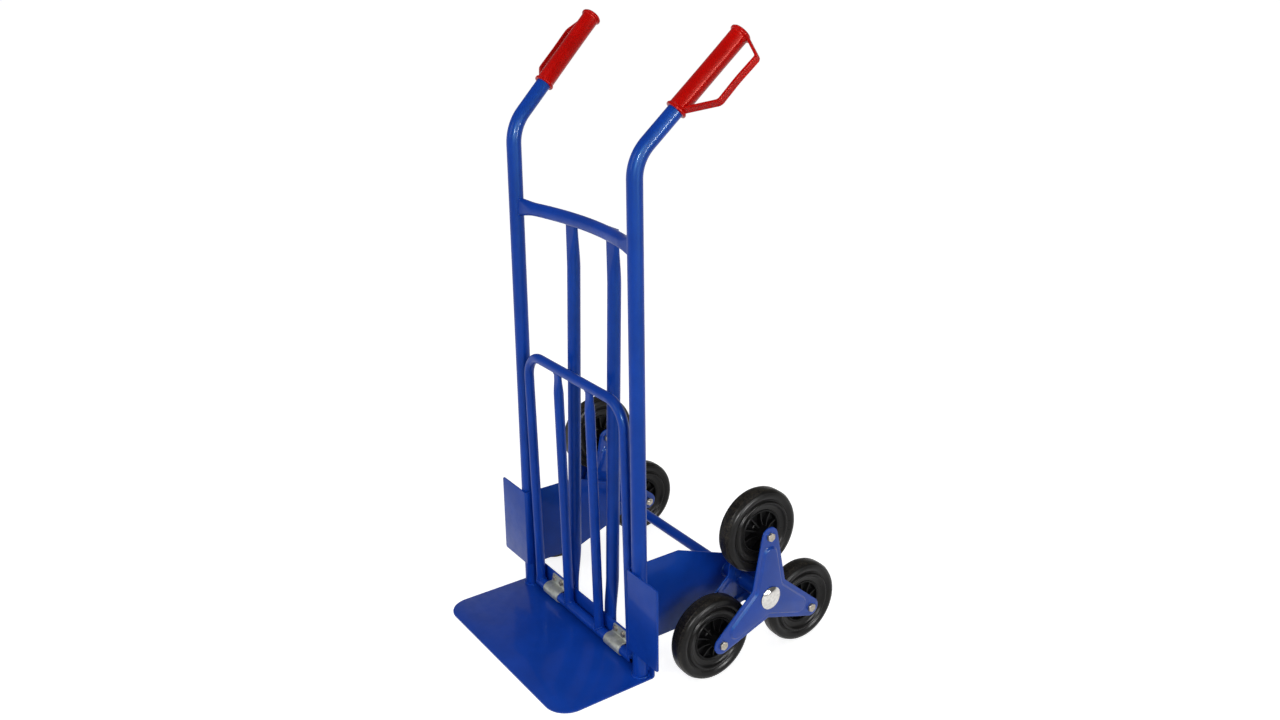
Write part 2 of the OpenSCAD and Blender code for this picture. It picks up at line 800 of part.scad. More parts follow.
// The hoop's path as a solid round bar
module hoop_path(r) {
    straight = hoop_h - hoop_corner_r;
    for (s = [-1, 1]) {
        translate([s * hoop_w / 2, 0, 0]) cylinder(h = straight, r = r);
        translate([s * (hoop_w / 2 - hoop_corner_r), 0, straight]) rotate([90, 0, 0])
            rotate([0, 0, s > 0 ? 0 : 90]) rotate_extrude(angle = 90)
                translate([hoop_corner_r, 0]) circle(r = r);
    }
    translate([0, 0, hoop_h]) bar_x(-hoop_w / 2 + hoop_corner_r, hoop_w / 2 - hoop_corner_r, r);
}

module fold_hoop() {
    color(blue) place() on_hinge() difference() {
        hoop_path(hoop_d / 2);
        hoop_path(hoop_d / 2 - tube_wall);
        bar_x(-hinge_tube_len, hinge_tube_len, hinge_tube_d / 2);
    }
}

// An inner bar drawn in by an inset
module fold_bar_shape(inset) {
    pad_z = hoop_h - hoop_d / 2 - bar_pad_len;
    r = hoop_d / 2 - inset;
    w = bar_pad_w - 2 * inset;
    t = bar_pad_t - 2 * inset;
    translate([bar_spacing / 2, 0, 0]) {
        cylinder(h = pad_z - bar_taper + sink, r = r);
        flatten(pad_z - bar_taper, 0, r, pad_z, 0, w, t);
        translate([0, 0, pad_z - sink]) pad(w, t, hoop_h - pad_z + sink);
    }
}

module fold_bar(side) {
    color(blue) at_side(side) on_hinge() difference() {
        fold_bar_shape(0);
        fold_bar_shape(tube_wall);
        bar_x(-hinge_tube_len, hinge_tube_len, hinge_tube_d / 2);
        translate([0, 0, hoop_h]) bar_x(-hoop_w, hoop_w, hoop_d / 2);
    }
}

// Section of a hinge strap: wraps the front of the hinge tube and stands against the upstand
module strap_section() {
    inner = hinge_tube_d / 2 + strap_gap;
    outer = inner + strap_t;
    difference() {
        union() {
            translate([hinge_y, hinge_z]) circle(outer);
            translate([hinge_y, hinge_z + inner]) square([upstand_y - hinge_y, strap_t]);
            translate([upstand_y - strap_t, hinge_z + inner])
                square([strap_t, strap_ear_top - hinge_z - inner]);
        }
        translate([hinge_y, hinge_z]) circle(inner);
        translate([hinge_y, hinge_z - 2 * outer]) square([2 * outer, 2 * outer + inner]);
    }
}

module hinge_strap(side) {
    ear_half = strap_w / 2 - strap_ear_in;
    color("lightgray") at_side(side) translate([strap_x, 0, 0]) difference() {
        along_x(-strap_w / 2, strap_w / 2) strap_section();
        for (s = [-1, 1]) {
            translate([s * strap_bolt_pitch / 2, upstand_y - 2 * strap_t, strap_bolt_z])
                rotate([-90, 0, 0]) cylinder(h = 4 * strap_t, d = strap_bolt_d);
            translate([s * (ear_half + strap_w / 2), upstand_y - strap_t / 2, strap_ear_top])
                rotate([0, s * strap_ear_slope, 0])
                    cube([strap_w, 2 * strap_t, 2 * (strap_ear_over + strap_bolt_d)], center = true);
        }
    }
}

// Places children on each strap bolt, Z pointing to the front
module at_strap_bolts() {
    place() for (side = [-1, 1], s = [-1, 1])
        translate([side * strap_x + s * strap_bolt_pitch / 2, upstand_y, strap_bolt_z])
            rotate([90, 0, 0]) children();
}

module hinge_bolts() {
    color(steel) at_strap_bolts() {
        translate([0, 0, -toe_t - strap_nut_h - thread_over])
            cylinder(h = toe_t + strap_nut_h + thread_over + strap_t, d = strap_bolt_d);
        translate([0, 0, strap_t]) cylinder(h = strap_bolt_head, d = strap_bolt_af / cos(30), $fn = 6);
    }
}

module hinge_nuts() {
    color(steel) at_strap_bolts() translate([0, 0, -toe_t - strap_nut_h]) difference() {
        cylinder(h = strap_nut_h, d = strap_bolt_af / cos(30), $fn = 6);
        translate([0, 0, -cut]) cylinder(h = strap_nut_h + 2 * cut, d = strap_bolt_d);
    }
}

rail(1);  // left_rail
rail(-1);  // right_rail
crossbar();
slat(1);  // left_slat
slat(-1);  // right_slat
toe_plate();
side_plate(1);  // left_side_plate
side_plate(-1);  // right_side_plate
axle();
axle_spacer(1);  // left_axle_spacer
axle_spacer(-1);  // right_axle_spacer
axle_washers();
hub_cap(1);  // left_hub_cap
hub_cap(-1);  // right_hub_cap
grip(1);  // left_grip
grip(-1);  // right_grip
hinge_strap(1);  // left_hinge_strap
hinge_strap(-1);  // right_hinge_strap
hinge_bolts();
hinge_nuts();
hinge_tube();
fold_hoop();
fold_bar(1);  // left_fold_bar
fold_bar(-1);  // right_fold_bar
outer_star_plate(1);  // left_outer_star_plate
inner_star_plate(1);  // left_inner_star_plate
hub_tube(1);  // left_hub_tube
wheel_bolts(1);  // left_wheel_bolts
wheel_nuts(1);  // left_wheel_nuts
wheel_tubes(1);  // left_wheel_tubes
outer_star_plate(-1);  // right_outer_star_plate
inner_star_plate(-1);  // right_inner_star_plate
hub_tube(-1);  // right_hub_tube
wheel_bolts(-1);  // right_wheel_bolts
wheel_nuts(-1);  // right_wheel_nuts
wheel_tubes(-1);  // right_wheel_tubes
tyre(1, arm_angles[0]);  // left_top_tyre
rim(1, arm_angles[0]);  // left_top_rim
tyre(1, arm_angles[1]);  // left_front_tyre
rim(1, arm_angles[1]);  // left_front_rim
tyre(1, arm_angles[2]);  // left_rear_tyre
rim(1, arm_angles[2]);  // left_rear_rim
tyre(-1, arm_angles[0]);  // right_top_tyre
rim(-1, arm_angles[0]);  // right_top_rim
tyre(-1, arm_angles[1]);  // right_front_tyre
rim(-1, arm_angles[1]);  // right_front_rim
tyre(-1, arm_angles[2]);  // right_rear_tyre
rim(-1, arm_angles[2]);  // right_rear_rim
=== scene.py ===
"""Looks of a stair-climbing hand truck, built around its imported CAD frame.

Shapes are made in millimetres in the rails' own frame: x to the operator's left, y backward from
the plane of the rails' axes, z up from the floor. build() turns them into metres in the frame's
axes. A shape is a pair (points, faces); the right-hand pieces are mirror images of the left ones.
"""

import json
import math

import bmesh
import bpy
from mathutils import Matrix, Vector, noise


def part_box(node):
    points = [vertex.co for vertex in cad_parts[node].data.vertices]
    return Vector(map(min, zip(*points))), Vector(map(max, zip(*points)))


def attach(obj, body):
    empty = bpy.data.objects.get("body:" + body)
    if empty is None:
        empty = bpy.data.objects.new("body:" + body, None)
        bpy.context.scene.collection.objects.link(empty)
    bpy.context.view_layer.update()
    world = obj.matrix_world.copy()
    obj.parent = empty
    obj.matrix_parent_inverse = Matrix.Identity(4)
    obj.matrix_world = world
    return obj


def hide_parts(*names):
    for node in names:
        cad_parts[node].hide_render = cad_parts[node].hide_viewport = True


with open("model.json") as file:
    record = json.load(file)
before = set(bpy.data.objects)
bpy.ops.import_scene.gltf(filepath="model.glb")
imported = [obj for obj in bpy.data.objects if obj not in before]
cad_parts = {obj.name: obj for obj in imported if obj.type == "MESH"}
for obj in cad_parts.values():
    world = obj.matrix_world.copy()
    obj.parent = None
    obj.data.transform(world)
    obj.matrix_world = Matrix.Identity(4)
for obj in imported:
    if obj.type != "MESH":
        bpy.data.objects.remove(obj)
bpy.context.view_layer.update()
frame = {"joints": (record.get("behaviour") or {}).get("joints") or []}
joints = {j["name"]: j for j in frame["joints"]}

SIDES = {"left": 1, "right": -1}
WHEELS = {"top": 90.0, "front": 210.0, "rear": 330.0}
UP = Vector((0, 0, 1))

# ---- sizes (mm) ----

# rails
RAIL_R = 14.0
BEND_Z = 926.0
BEND_R = 80.0
BEND_ANGLE = math.radians(46)
FLARE = math.radians(8)
HANDLE_LEN = 229.0
GRIP_START = 69.0
GRIP_LEN = 170.0
GRIP_R = 16.6
GUARD_HALF_W = 7.0
GUARD_HALF_T = 2.5
GUARD_RIB = 0.4
GUARD_REACH = 65.5
GUARD_TURN = math.radians(17)
GUARD_LOW = 46.0
GUARD_HIGH = 141.0
GUARD_BOW = 2.0
GUARD_ROOT = 14.6

# sheet metal
TOE_T = 3.0
TOE_HALF_W = 222.0
TOE_REACH = 188.0
TOE_CORNER_R = 44.0
UPSTAND_H = 54.0
UPSTAND_CORNER_R = 12.0
FOLD_R = 4.5
WING_REACH = 79.0
SIDE_T = 3.0
SIDE_Z0 = 56.0
SIDE_Z1 = 219.0
SIDE_CORNER_R = 5.0
CHEEK_TAPER_Y = 98.0
CHEEK_BEHIND_AXLE = 28.0
CHEEK_BELOW_AXLE = 32.0
CHEEK_ABOVE_AXLE = 24.0
SHEET_EDGE = 0.5

# crossbar, slats and folding frame
CROSSBAR_Z = 810.0
BAR_R = 12.5
BAR_END_W = 34.0
BAR_END_T = 11.0
BAR_END_LEN = 46.0
BOW = 28.0
BOW_HALF = 193.0
BOW_R = (BOW_HALF**2 + BOW**2) / (2 * BOW)
SLAT_X = 68.3
SLAT_END_W = 35.0
SLAT_END_T = 8.0
SLAT_TAPER = 85.0
SLAT_TOP_OVER = 4.0
SLAT_TOP_LEN = 16.0
HOOP_R = 9.5
HOOP_HALF_W = 167.0
HOOP_H = 505.0
HOOP_CORNER_R = 48.0
FOLD_BAR_X = 55.2
FOLD_BAR_END_W = 21.0
FOLD_BAR_END_T = 8.0
FOLD_BAR_TAPER = 34.0
HINGE_TUBE_R = 10.0
HINGE_TUBE_T = 1.5
HINGE_TUBE_HALF = 173.0
LEAN = math.radians(1.1)
STRAP_X = 113.0
STRAP_HALF = 26.0
STRAP_T = 2.0
STRAP_PLAY = 0.1
STRAP_BEND_R = 3.0
STRAP_CORNER_R = 5.0
STRAP_TOP_HALF = 20.0
STRAP_TOP_SLOPE = math.tan(math.radians(15))
STRAP_TOP_Z = 52.1
STRAP_BOLT_X = 13.0
STRAP_BOLT_Z = 43.1

# stars and wheels
ARM_R = 122.5
ARM_END_R = 18.0
STAR_ROOT_R = 42.0
STAR_FILLET = 7.0
STAR_T = 3.0
STAR_RAISE = 4.5
STAR_RAISE_R = 86.0
STAR_HALF_GAP = 34.5
STAR_PLAY = 0.3
HUB_TUBE_R = 14.0
HUB_PLAY = 0.5
WHEEL_R = 80.0
WHEEL_OFFSET = 70.5
WORN_R = 76.0
RIM_R = 42.0
RIM_HALF_W = 12.0
RIM_HUB_R = 13.0
RIB_COUNT = 10
BUSH_R = 8.0
AXLE_R = 10.0
SPACER_R = 13.0
WASHER_R = 17.0
WASHER_T = 1.6
CAP_R = 22.25
CAP_H = 8.5
CAP_SKIRT = 2.5
CAP_SEAT = 5.0

# bolts: radius of the thread, width across the flats, heights of head and nut, length past the nut's seat
WHEEL_BOLT = (5.0, 15.0, 5.0, 7.0, 9.0)
STRAP_BOLT = (3.0, 10.0, 3.0, 5.0, 7.0)
STRAP_WASHER_R = 6.4
STRAP_WASHER_T = 1.0

TUBE_SIDES = 48
WHEEL_SIDES = 96

RAIL_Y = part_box("left_rail")[0].y * 1000 + RAIL_R
HALF_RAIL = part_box("left_rail")[0].x * 1000 + RAIL_R
HINGE = Vector(joints["load_frame_fold"]["pos_m"]) * 1000 - Vector((0, RAIL_Y, 0))
AXLE = Vector(joints["left_star_spin"]["pos_m"]) * 1000 - Vector((0, RAIL_Y, 0))
CHEEK_X = HALF_RAIL - RAIL_R - SIDE_T
WHEEL_X = HALF_RAIL + WHEEL_OFFSET
STAR_FACE_X = WHEEL_X + STAR_HALF_GAP + STAR_T
CAP_X = STAR_FACE_X + STAR_RAISE + STAR_PLAY
WASHER_X = WHEEL_X - STAR_HALF_GAP - STAR_T - STAR_RAISE - STAR_PLAY - WASHER_T
BACK = Vector((math.sin(FLARE), math.cos(FLARE), 0))


def mm(p):
    """Point in the rails' frame, in millimetres, as metres in the part's frame."""
    return Vector((p[0], p[1] + RAIL_Y, p[2])) * 0.001


def smoothstep(t):
    t = min(1.0, max(0.0, t))
    return t * t * (3 - 2 * t)


def mix(a, b, t):
    return a + (b - a) * t


# ---- shape tools ----


def skin(rings, closed=False):
    """Shape through rings of equal length, capped, or with the last ring joined to the first."""
    n = len(rings[0])
    points = [Vector(p) for ring in rings for p in ring]
    faces = []
    last = len(rings) if closed else len(rings) - 1
    for k in range(last):
        a = k * n
        b = (k + 1) % len(rings) * n
        faces += [(a + i, a + (i + 1) % n, b + (i + 1) % n, b + i) for i in range(n)]
    if not closed:
        faces.append(tuple(range(n)))
        faces.append(tuple(len(points) - 1 - i for i in range(n)))
    return points, faces


def circle(radius, height, sides):
    """Ring round Z. radius may be a function of the angle."""
    ring = []
    for i in range(sides):
        a = 2 * math.pi * i / sides
        r = radius(a) if callable(radius) else radius
        ring.append(Vector((r * math.cos(a), r * math.sin(a), height)))
    return ring


def turned(profile, sides=TUBE_SIDES, closed=False):
    """Shape turned round Z from points (radius, height). closed makes a ring with a bore."""
    return skin([circle(r, h, sides) for r, h in profile], closed=closed)


def placed(shape, origin=(0, 0, 0), x=(1, 0, 0), y=(0, 1, 0), z=(0, 0, 1)):
    """The shape in a frame with this origin and these axes."""
    points, faces = shape
    x, y, z, origin = Vector(x), Vector(y), Vector(z), Vector(origin)
    return [origin + x * p.x + y * p.y + z * p.z for p in points], faces


def along_x(shape, origin):
    """A shape made round Z, laid along +X at an origin."""
    return placed(shape, origin, x=(0, 1, 0), y=(0, 0, 1), z=(1, 0, 0))


def arc(centre, radius, start, end, steps):
    """Points (a, b) on an arc in a plane, angles in degrees."""
    points = []
    for k in range(steps + 1):
        a = math.radians(mix(start, end, k / steps))
        points.append((centre[0] + radius * math.cos(a), centre[1] + radius * math.sin(a)))
    return points


def tube_ring(centre, along, across, width, depth, sides=TUBE_SIDES):
    """Section of a tube: a circle when width equals depth, else a slot that is wide across."""
    across = (across - along * along.dot(across)).normalized()
    through = along.cross(across)
    flat = (width - depth) / 2
    ring = []
    for i in range(sides):
        a = 2 * math.pi * (i + 0.5) / sides
        u = math.copysign(flat, math.cos(a)) + depth / 2 * math.cos(a)
        v = depth / 2 * math.sin(a)
        ring.append(centre + across * u + through * v)
    return ring


def sheet(stations, thickness):
    """Folded sheet. A station is (low edge, high edge, normal) of the sheet's middle surface."""
    rings = []
    for low, high, normal in stations:
        half = Vector(normal) * thickness / 2
        low, high = Vector(low), Vector(high)
        rings.append([low - half, high - half, high + half, low + half])
    return skin(rings)


def bead(path, radius, closed=False, seed=0):
    """Weld bead along a path, with the ripples that a weld pool leaves."""
    count = len(path)
    rings = []
    run = 0.0
    for k in range(count):
        before = path[k - 1] if (k or closed) else path[0]
        after = path[(k + 1) % count] if (k < count - 1 or closed) else path[-1]
        along = (after - before).normalized()
        if k:
            run += (path[k] - path[k - 1]).length
        across = along.orthogonal().normalized()
        if abs(along.z) < 0.9:
            across = (UP - along * along.z).normalized()
        ends = 1.0
        if not closed:
            ends = math.sin(math.pi * min(0.5, (min(k, count - 1 - k) + 0.35) / 5))
        ripple = 1 + 0.12 * math.sin(2 * math.pi * run / 2.2)
        wander = 1 + 0.3 * noise.noise(Vector((run * 0.16, seed * 7.1, 0.5)))
        r = radius * ends * ripple * wander
        rings.append(tube_ring(path[k], along, across, 2 * r, 2 * r, 10))
    return skin(rings, closed=closed)


def line(a, b, step=0.7):
    """Points from a to b, spaced for a weld bead."""
    a, b = Vector(a), Vector(b)
    count = max(4, int((b - a).length / step))
    return [a.lerp(b, k / count) for k in range(count + 1)]


def build(name, shapes, side=1, sharp_angle=35.0, bevel=0.0):
    """One mesh object from shapes, mirrored for side -1. bevel is in millimetres."""
    points, faces = [], []
    for shape_points, shape_faces in shapes:
        base = len(points)
        points += [mm((p[0] * side, p[1], p[2])) for p in shape_points]
        faces += [tuple(base + i for i in face) for face in shape_faces]
    mesh = bpy.data.meshes.new(name)
    mesh.from_pydata([tuple(p) for p in points], [], faces)
    bm = bmesh.new()
    bm.from_mesh(mesh)
    bmesh.ops.recalc_face_normals(bm, faces=bm.faces)
    if bevel:
        corner = math.radians(50)
        edges = [e for e in bm.edges if len(e.link_faces) == 2 and e.calc_face_angle() > corner]
        bmesh.ops.bevel(bm, geom=edges, offset=bevel * 0.001, segments=2, profile=0.5, affect="EDGES")
    bm.to_mesh(mesh)
    bm.free()
    mesh.shade_smooth()
    mesh.set_sharp_from_angle(angle=math.radians(sharp_angle))
    obj = bpy.data.objects.new(name, mesh)
    bpy.context.scene.collection.objects.link(obj)
    return obj


def piece(name, shapes, body, finish, replaced=(), side=1, sharp_angle=35.0, bevel=0.0):
    """A finished piece: its mesh, its material, its body and the CAD nodes it stands for."""
    obj = build(name, shapes, side, sharp_angle, bevel)
    material, slot = finish
    obj.data.materials.append(material)
    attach(obj, body)
    if replaced:
        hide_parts(*replaced)
    return obj


# ---- materials ----


def srgb(r, g, b):
    """Colour from 0-255 display values."""
    shown = (r / 255, g / 255, b / 255)
    return tuple(c / 12.92 if c <= 0.04045 else ((c + 0.055) / 1.055) ** 2.4 for c in shown) + (1.0,)


class Finish:
    """A procedural material in the making, in the part's own coordinates."""

    def __init__(self, name):
        self.material = bpy.data.materials.new(name)
        self.material.use_nodes = True
        self.nodes = self.material.node_tree.nodes
        self.links = self.material.node_tree.links
        self.shader = self.nodes["Principled BSDF"]
        self.coords = self.nodes.new("ShaderNodeTexCoord").outputs["Object"]

    def put(self, **values):
        for key, value in values.items():
            self.shader.inputs[key.replace("_", " ")].default_value = value

    def noise(self, scale, detail=2.0, rough=0.5, stretch=(1, 1, 1)):
        mapping = self.nodes.new("ShaderNodeMapping")
        mapping.inputs["Scale"].default_value = stretch
        self.links.new(self.coords, mapping.inputs["Vector"])
        node = self.nodes.new("ShaderNodeTexNoise")
        node.inputs["Scale"].default_value = scale
        node.inputs["Detail"].default_value = detail
        node.inputs["Roughness"].default_value = rough
        self.links.new(mapping.outputs["Vector"], node.inputs["Vector"])
        return node.outputs["Fac"]

    def cells(self, scale):
        """A random colour for each cell of a pattern."""
        node = self.nodes.new("ShaderNodeTexVoronoi")
        node.inputs["Scale"].default_value = scale
        self.links.new(self.coords, node.inputs["Vector"])
        return node.outputs["Color"]

    def spread(self, value, low, high, out_low=0.0, out_high=1.0):
        node = self.nodes.new("ShaderNodeMapRange")
        limits = {"From Min": low, "From Max": high, "To Min": out_low, "To Max": out_high}
        for key, limit in limits.items():
            node.inputs[key].default_value = limit
        self.links.new(value, node.inputs["Value"])
        return node.outputs["Result"]

    def maths(self, operation, a, b):
        node = self.nodes.new("ShaderNodeMath")
        node.operation = operation
        for socket, value in zip(node.inputs, (a, b)):
            if isinstance(value, (int, float)):
                socket.default_value = value
            else:
                self.links.new(value, socket)
        return node.outputs["Value"]

    def blend(self, factor, a, b):
        node = self.nodes.new("ShaderNodeMix")
        node.data_type = "RGBA"
        self.links.new(factor, node.inputs["Factor"])
        for key, value in (("A", a), ("B", b)):
            socket = next(s for s in node.inputs if s.name == key and s.type == "RGBA")
            if isinstance(value, tuple):
                socket.default_value = value
            else:
                self.links.new(value, socket)
        return next(s for s in node.outputs if s.type == "RGBA")

    def attribute(self, name):
        node = self.nodes.new("ShaderNodeAttribute")
        node.attribute_name = name
        return node.outputs["Fac"]

    def colour(self, socket):
        self.links.new(socket, self.shader.inputs["Base Color"])

    def roughness(self, socket):
        self.links.new(socket, self.shader.inputs["Roughness"])

    def bump(self, height, strength, distance, coat=False):
        node = self.nodes.new("ShaderNodeBump")
        node.inputs["Strength"].default_value = strength
        node.inputs["Distance"].default_value = distance
        self.links.new(height, node.inputs["Height"])
        self.links.new(node.outputs["Normal"], self.shader.inputs["Normal"])
        if coat:
            self.links.new(node.outputs["Normal"], self.shader.inputs["Coat Normal"])


def blue_paint(name, coat):
    """Deep blue powder coat with a fine orange peel and slightly uneven depth of colour.

    coat is how strongly the surface mirrors: high on the pressed plates, low on the tubes.
    """
    f = Finish(name)
    patches = f.spread(f.noise(14, detail=3), 0.35, 0.65)
    grain = f.spread(f.noise(900, detail=2), 0.3, 0.7)
    shade = f.blend(patches, srgb(11, 61, 164), srgb(14, 68, 179))
    f.colour(f.blend(f.maths("MULTIPLY", grain, 0.25), shade, srgb(5, 45, 134)))
    f.roughness(f.spread(f.noise(60, detail=4), 0.3, 0.7, 0.34, 0.46))
    peel = f.maths("ADD", f.noise(420, detail=1), f.maths("MULTIPLY", f.noise(1500, detail=1), 0.25))
    f.bump(peel, 0.03, 0.0003, coat=True)
    f.put(Specular_IOR_Level=0.2, Specular_Tint=(0.3, 0.75, 1.0, 1.0))
    f.put(Coat_Weight=coat, Coat_Roughness=0.08, Coat_IOR=1.45)
    return f.material, "blue_paint"


def grip_plastic():
    """Smooth glossy red vinyl, dipped over the handle."""
    f = Finish("red_vinyl")
    flow = f.spread(f.noise(22, detail=3, stretch=(1, 1, 0.4)), 0.35, 0.65)
    f.colour(f.blend(flow, srgb(182, 2, 0), srgb(202, 4, 1)))
    f.roughness(f.spread(f.noise(90, detail=3), 0.3, 0.7, 0.26, 0.34))
    skin_grain = f.maths("ADD", f.noise(160, detail=2), f.maths("MULTIPLY", f.noise(1400), 0.05))
    f.bump(skin_grain, 0.03, 0.0004)
    f.put(Specular_IOR_Level=0.3, Specular_Tint=(1.0, 0.25, 0.2, 1.0))
    return f.material, "grip_plastic"


def tyre_rubber():
    """Satin solid rubber, with pale brown dust where the tread has run."""
    f = Finish("tyre_rubber")
    mottle = f.spread(f.noise(45, detail=5, rough=0.6), 0.35, 0.65)
    clean = f.blend(mottle, srgb(18, 17, 17), srgb(26, 25, 24))
    speck = f.spread(f.noise(260, detail=6, rough=0.7), 0.46, 0.66)
    dust = f.maths("MULTIPLY", f.attribute("tread"), speck)
    f.colour(f.blend(f.maths("MULTIPLY", dust, 0.5), clean, srgb(84, 76, 62)))
    satin = f.spread(f.noise(120, detail=3), 0.3, 0.7, 0.27, 0.36)
    f.roughness(f.maths("ADD", satin, f.maths("MULTIPLY", dust, 0.3)))
    grain = f.maths("ADD", f.noise(700, detail=3), f.maths("MULTIPLY", f.noise(90, detail=2), 0.5))
    f.bump(grain, 0.18, 0.0004)
    f.put(Specular_IOR_Level=0.16)
    return f.material, "tyre"


def rim_plastic():
    """Black moulded polypropylene with a fine grain."""
    f = Finish("rim_plastic")
    mottle = f.spread(f.noise(50, detail=4), 0.35, 0.65)
    f.colour(f.blend(mottle, srgb(8, 8, 9), srgb(13, 13, 14)))
    f.roughness(f.spread(f.noise(200, detail=3), 0.3, 0.7, 0.36, 0.48))
    f.bump(f.noise(1200, detail=2), 0.2, 0.0002)
    f.put(Specular_IOR_Level=0.12)
    return f.material, "rim_plastic"


def plated_steel():
    """Bright zinc plating on bolts, nuts and washers."""
    f = Finish("zinc_plating")
    cloudy = f.spread(f.noise(260, detail=4), 0.35, 0.65)
    f.colour(f.blend(cloudy, srgb(143, 136, 124), srgb(173, 167, 155)))
    f.roughness(f.spread(f.noise(700, detail=3), 0.3, 0.7, 0.26, 0.42))
    f.bump(f.noise(1600, detail=2), 0.15, 0.0001)
    f.put(Metallic=1.0)
    return f.material, "plated_steel"


def galvanised():
    """Hot-dip zinc with faint spangles."""
    f = Finish("galvanised_sheet")
    tone = f.spread(f.cells(230), 0.1, 0.9)
    cloudy = f.spread(f.noise(70, detail=4), 0.35, 0.65)
    grey = f.blend(f.maths("MULTIPLY", tone, 0.6), srgb(182, 185, 178), srgb(210, 213, 206))
    f.colour(f.blend(f.maths("MULTIPLY", cloudy, 0.5), grey, srgb(160, 163, 156)))
    f.roughness(f.spread(tone, 0.0, 1.0, 0.36, 0.52))
    f.bump(f.noise(500, detail=3), 0.2, 0.0002)
    f.put(Metallic=0.6)
    return f.material, "galvanised"


def chrome():
    """Nickel-chrome plating on the hub caps."""
    f = Finish("chrome_plating")
    cloudy = f.spread(f.noise(180, detail=3), 0.35, 0.65)
    f.colour(f.blend(cloudy, srgb(192, 190, 186), srgb(210, 208, 204)))
    f.roughness(f.spread(f.noise(900, detail=3), 0.3, 0.7, 0.05, 0.12))
    f.bump(f.noise(300, detail=1), 0.01, 0.0002)
    f.put(Metallic=1.0)
    return f.material, "chrome"


BLUE = blue_paint("blue_powder_coat", 0.15)
GLOSSY_BLUE = blue_paint("glossy_blue_powder_coat", 0.6)
RED = grip_plastic()
RUBBER = tyre_rubber()
BLACK = rim_plastic()
ZINC = plated_steel()
GALVANISED = galvanised()
CHROME = chrome()

# ---- rails ----


def on_bend(angle):
    """Centre and direction of the left rail at an angle round its bend."""
    base = Vector((HALF_RAIL, 0, BEND_Z))
    centre = base + BACK * BEND_R * (1 - math.cos(angle)) + UP * BEND_R * math.sin(angle)
    return centre, BACK * math.sin(angle) + UP * math.cos(angle)


def rail_shape():
    across = UP.cross(BACK)
    steps = 28
    stations = [(Vector((HALF_RAIL, 0, z)), UP) for z in (TOE_T, 20.0, 300.0, 600.0, BEND_Z)]
    stations += [on_bend(BEND_ANGLE * k / steps) for k in range(1, steps + 1)]
    centre, along = on_bend(BEND_ANGLE)
    stations.append((centre + along * HANDLE_LEN, along))
    return skin([tube_ring(c, a, across, 2 * RAIL_R, 2 * RAIL_R) for c, a in stations])


# ---- grips ----


def on_handle(shape):
    """Places a shape made round Z on the left handle, its origin at the grip's lower end."""
    centre, along = on_bend(BEND_ANGLE)
    x = BACK.cross(UP)
    return placed(shape, centre + along * GRIP_START, x=x, y=along.cross(x), z=along)


def grip_sleeve():
    """Dipped sleeve: lipped collar, slightly waisted barrel and a flanged, domed end."""
    end = GRIP_LEN
    profile = [(RAIL_R - 1, 0.2), (17.6, 0.0), (18.6, 0.5), (19.0, 1.6), (19.0, 3.6), (18.6, 4.6)]
    profile += [(17.8, 5.3), (17.0, 6.4), (GRIP_R, 8.5)]
    profile += [(GRIP_R - 0.35 * math.sin(math.pi * t), mix(8.5, end - 9, t)) for t in (0.25, 0.5, 0.75, 1.0)]
    profile += [(GRIP_R + 0.3, end - 7.4), (17.6, end - 6.2), (18.9, end - 5.4), (19.4, end - 4.4)]
    profile += [(19.5, end - 3.2), (19.4, end - 1.8), (18.8, end - 0.6), (17.6, end + 0.2)]
    dome = [(17.6 * math.cos(a), end + 0.2 + 3.7 * math.sin(a)) for a in (0.35, 0.7, 1.0, 1.25, 1.42, 1.52)]
    return turned(profile + dome, 64)


def rounded_path(corners, radii, steps=8):
    """The corners' polyline with its inner corners rounded, as points with unit directions."""
    corners = [Vector(c) for c in corners]
    path = [(corners[0], (corners[1] - corners[0]).normalized())]
    for before, corner, after, radius in zip(corners, corners[1:], corners[2:], radii):
        come = (corner - before).normalized()
        go = (after - corner).normalized()
        half = come.angle(go) / 2
        inward = (go - come).normalized()
        forward = (come + go).normalized()
        centre = corner + inward * (radius / math.cos(half))
        for k in range(steps + 1):
            t = mix(-half, half, k / steps)
            point = centre - inward * radius * math.cos(t) + forward * radius * math.sin(t)
            path.append((point, (come * (1 - k / steps) + go * (k / steps)).normalized()))
    path.append((corners[-1], (corners[-1] - corners[-2]).normalized()))
    return path


def guard_section():
    """Section of the guard's strip: rounded edges and, on its outer face, three ribs along it."""
    half_w, half_t = GUARD_HALF_W, GUARD_HALF_T
    edge = 1.4
    section = arc((half_w - edge, -half_t + edge), edge, -90, 0, 4)
    section += arc((half_w - edge, half_t - edge), edge, 0, 90, 4)
    reach = half_w - edge
    steps = 24
    for k in range(1, steps):
        u = mix(reach, -reach, k / steps)
        rib = 0.5 - 0.5 * math.cos(2 * math.pi * (u / reach * 1.5 + 0.5))
        section.append((u, half_t - GUARD_RIB + GUARD_RIB * rib if abs(u) < reach * 0.98 else half_t))
    section += arc((-half_w + edge, half_t - edge), edge, 90, 180, 4)
    section += arc((-half_w + edge, -half_t + edge), edge, 180, 270, 4)
    return section


def guard_axes():
    """Directions of the hand guard round the grip's axis: outward and across its strip."""
    out = Vector((math.cos(GUARD_TURN), math.sin(GUARD_TURN), 0))
    return out, Vector((-math.sin(GUARD_TURN), math.cos(GUARD_TURN), 0))


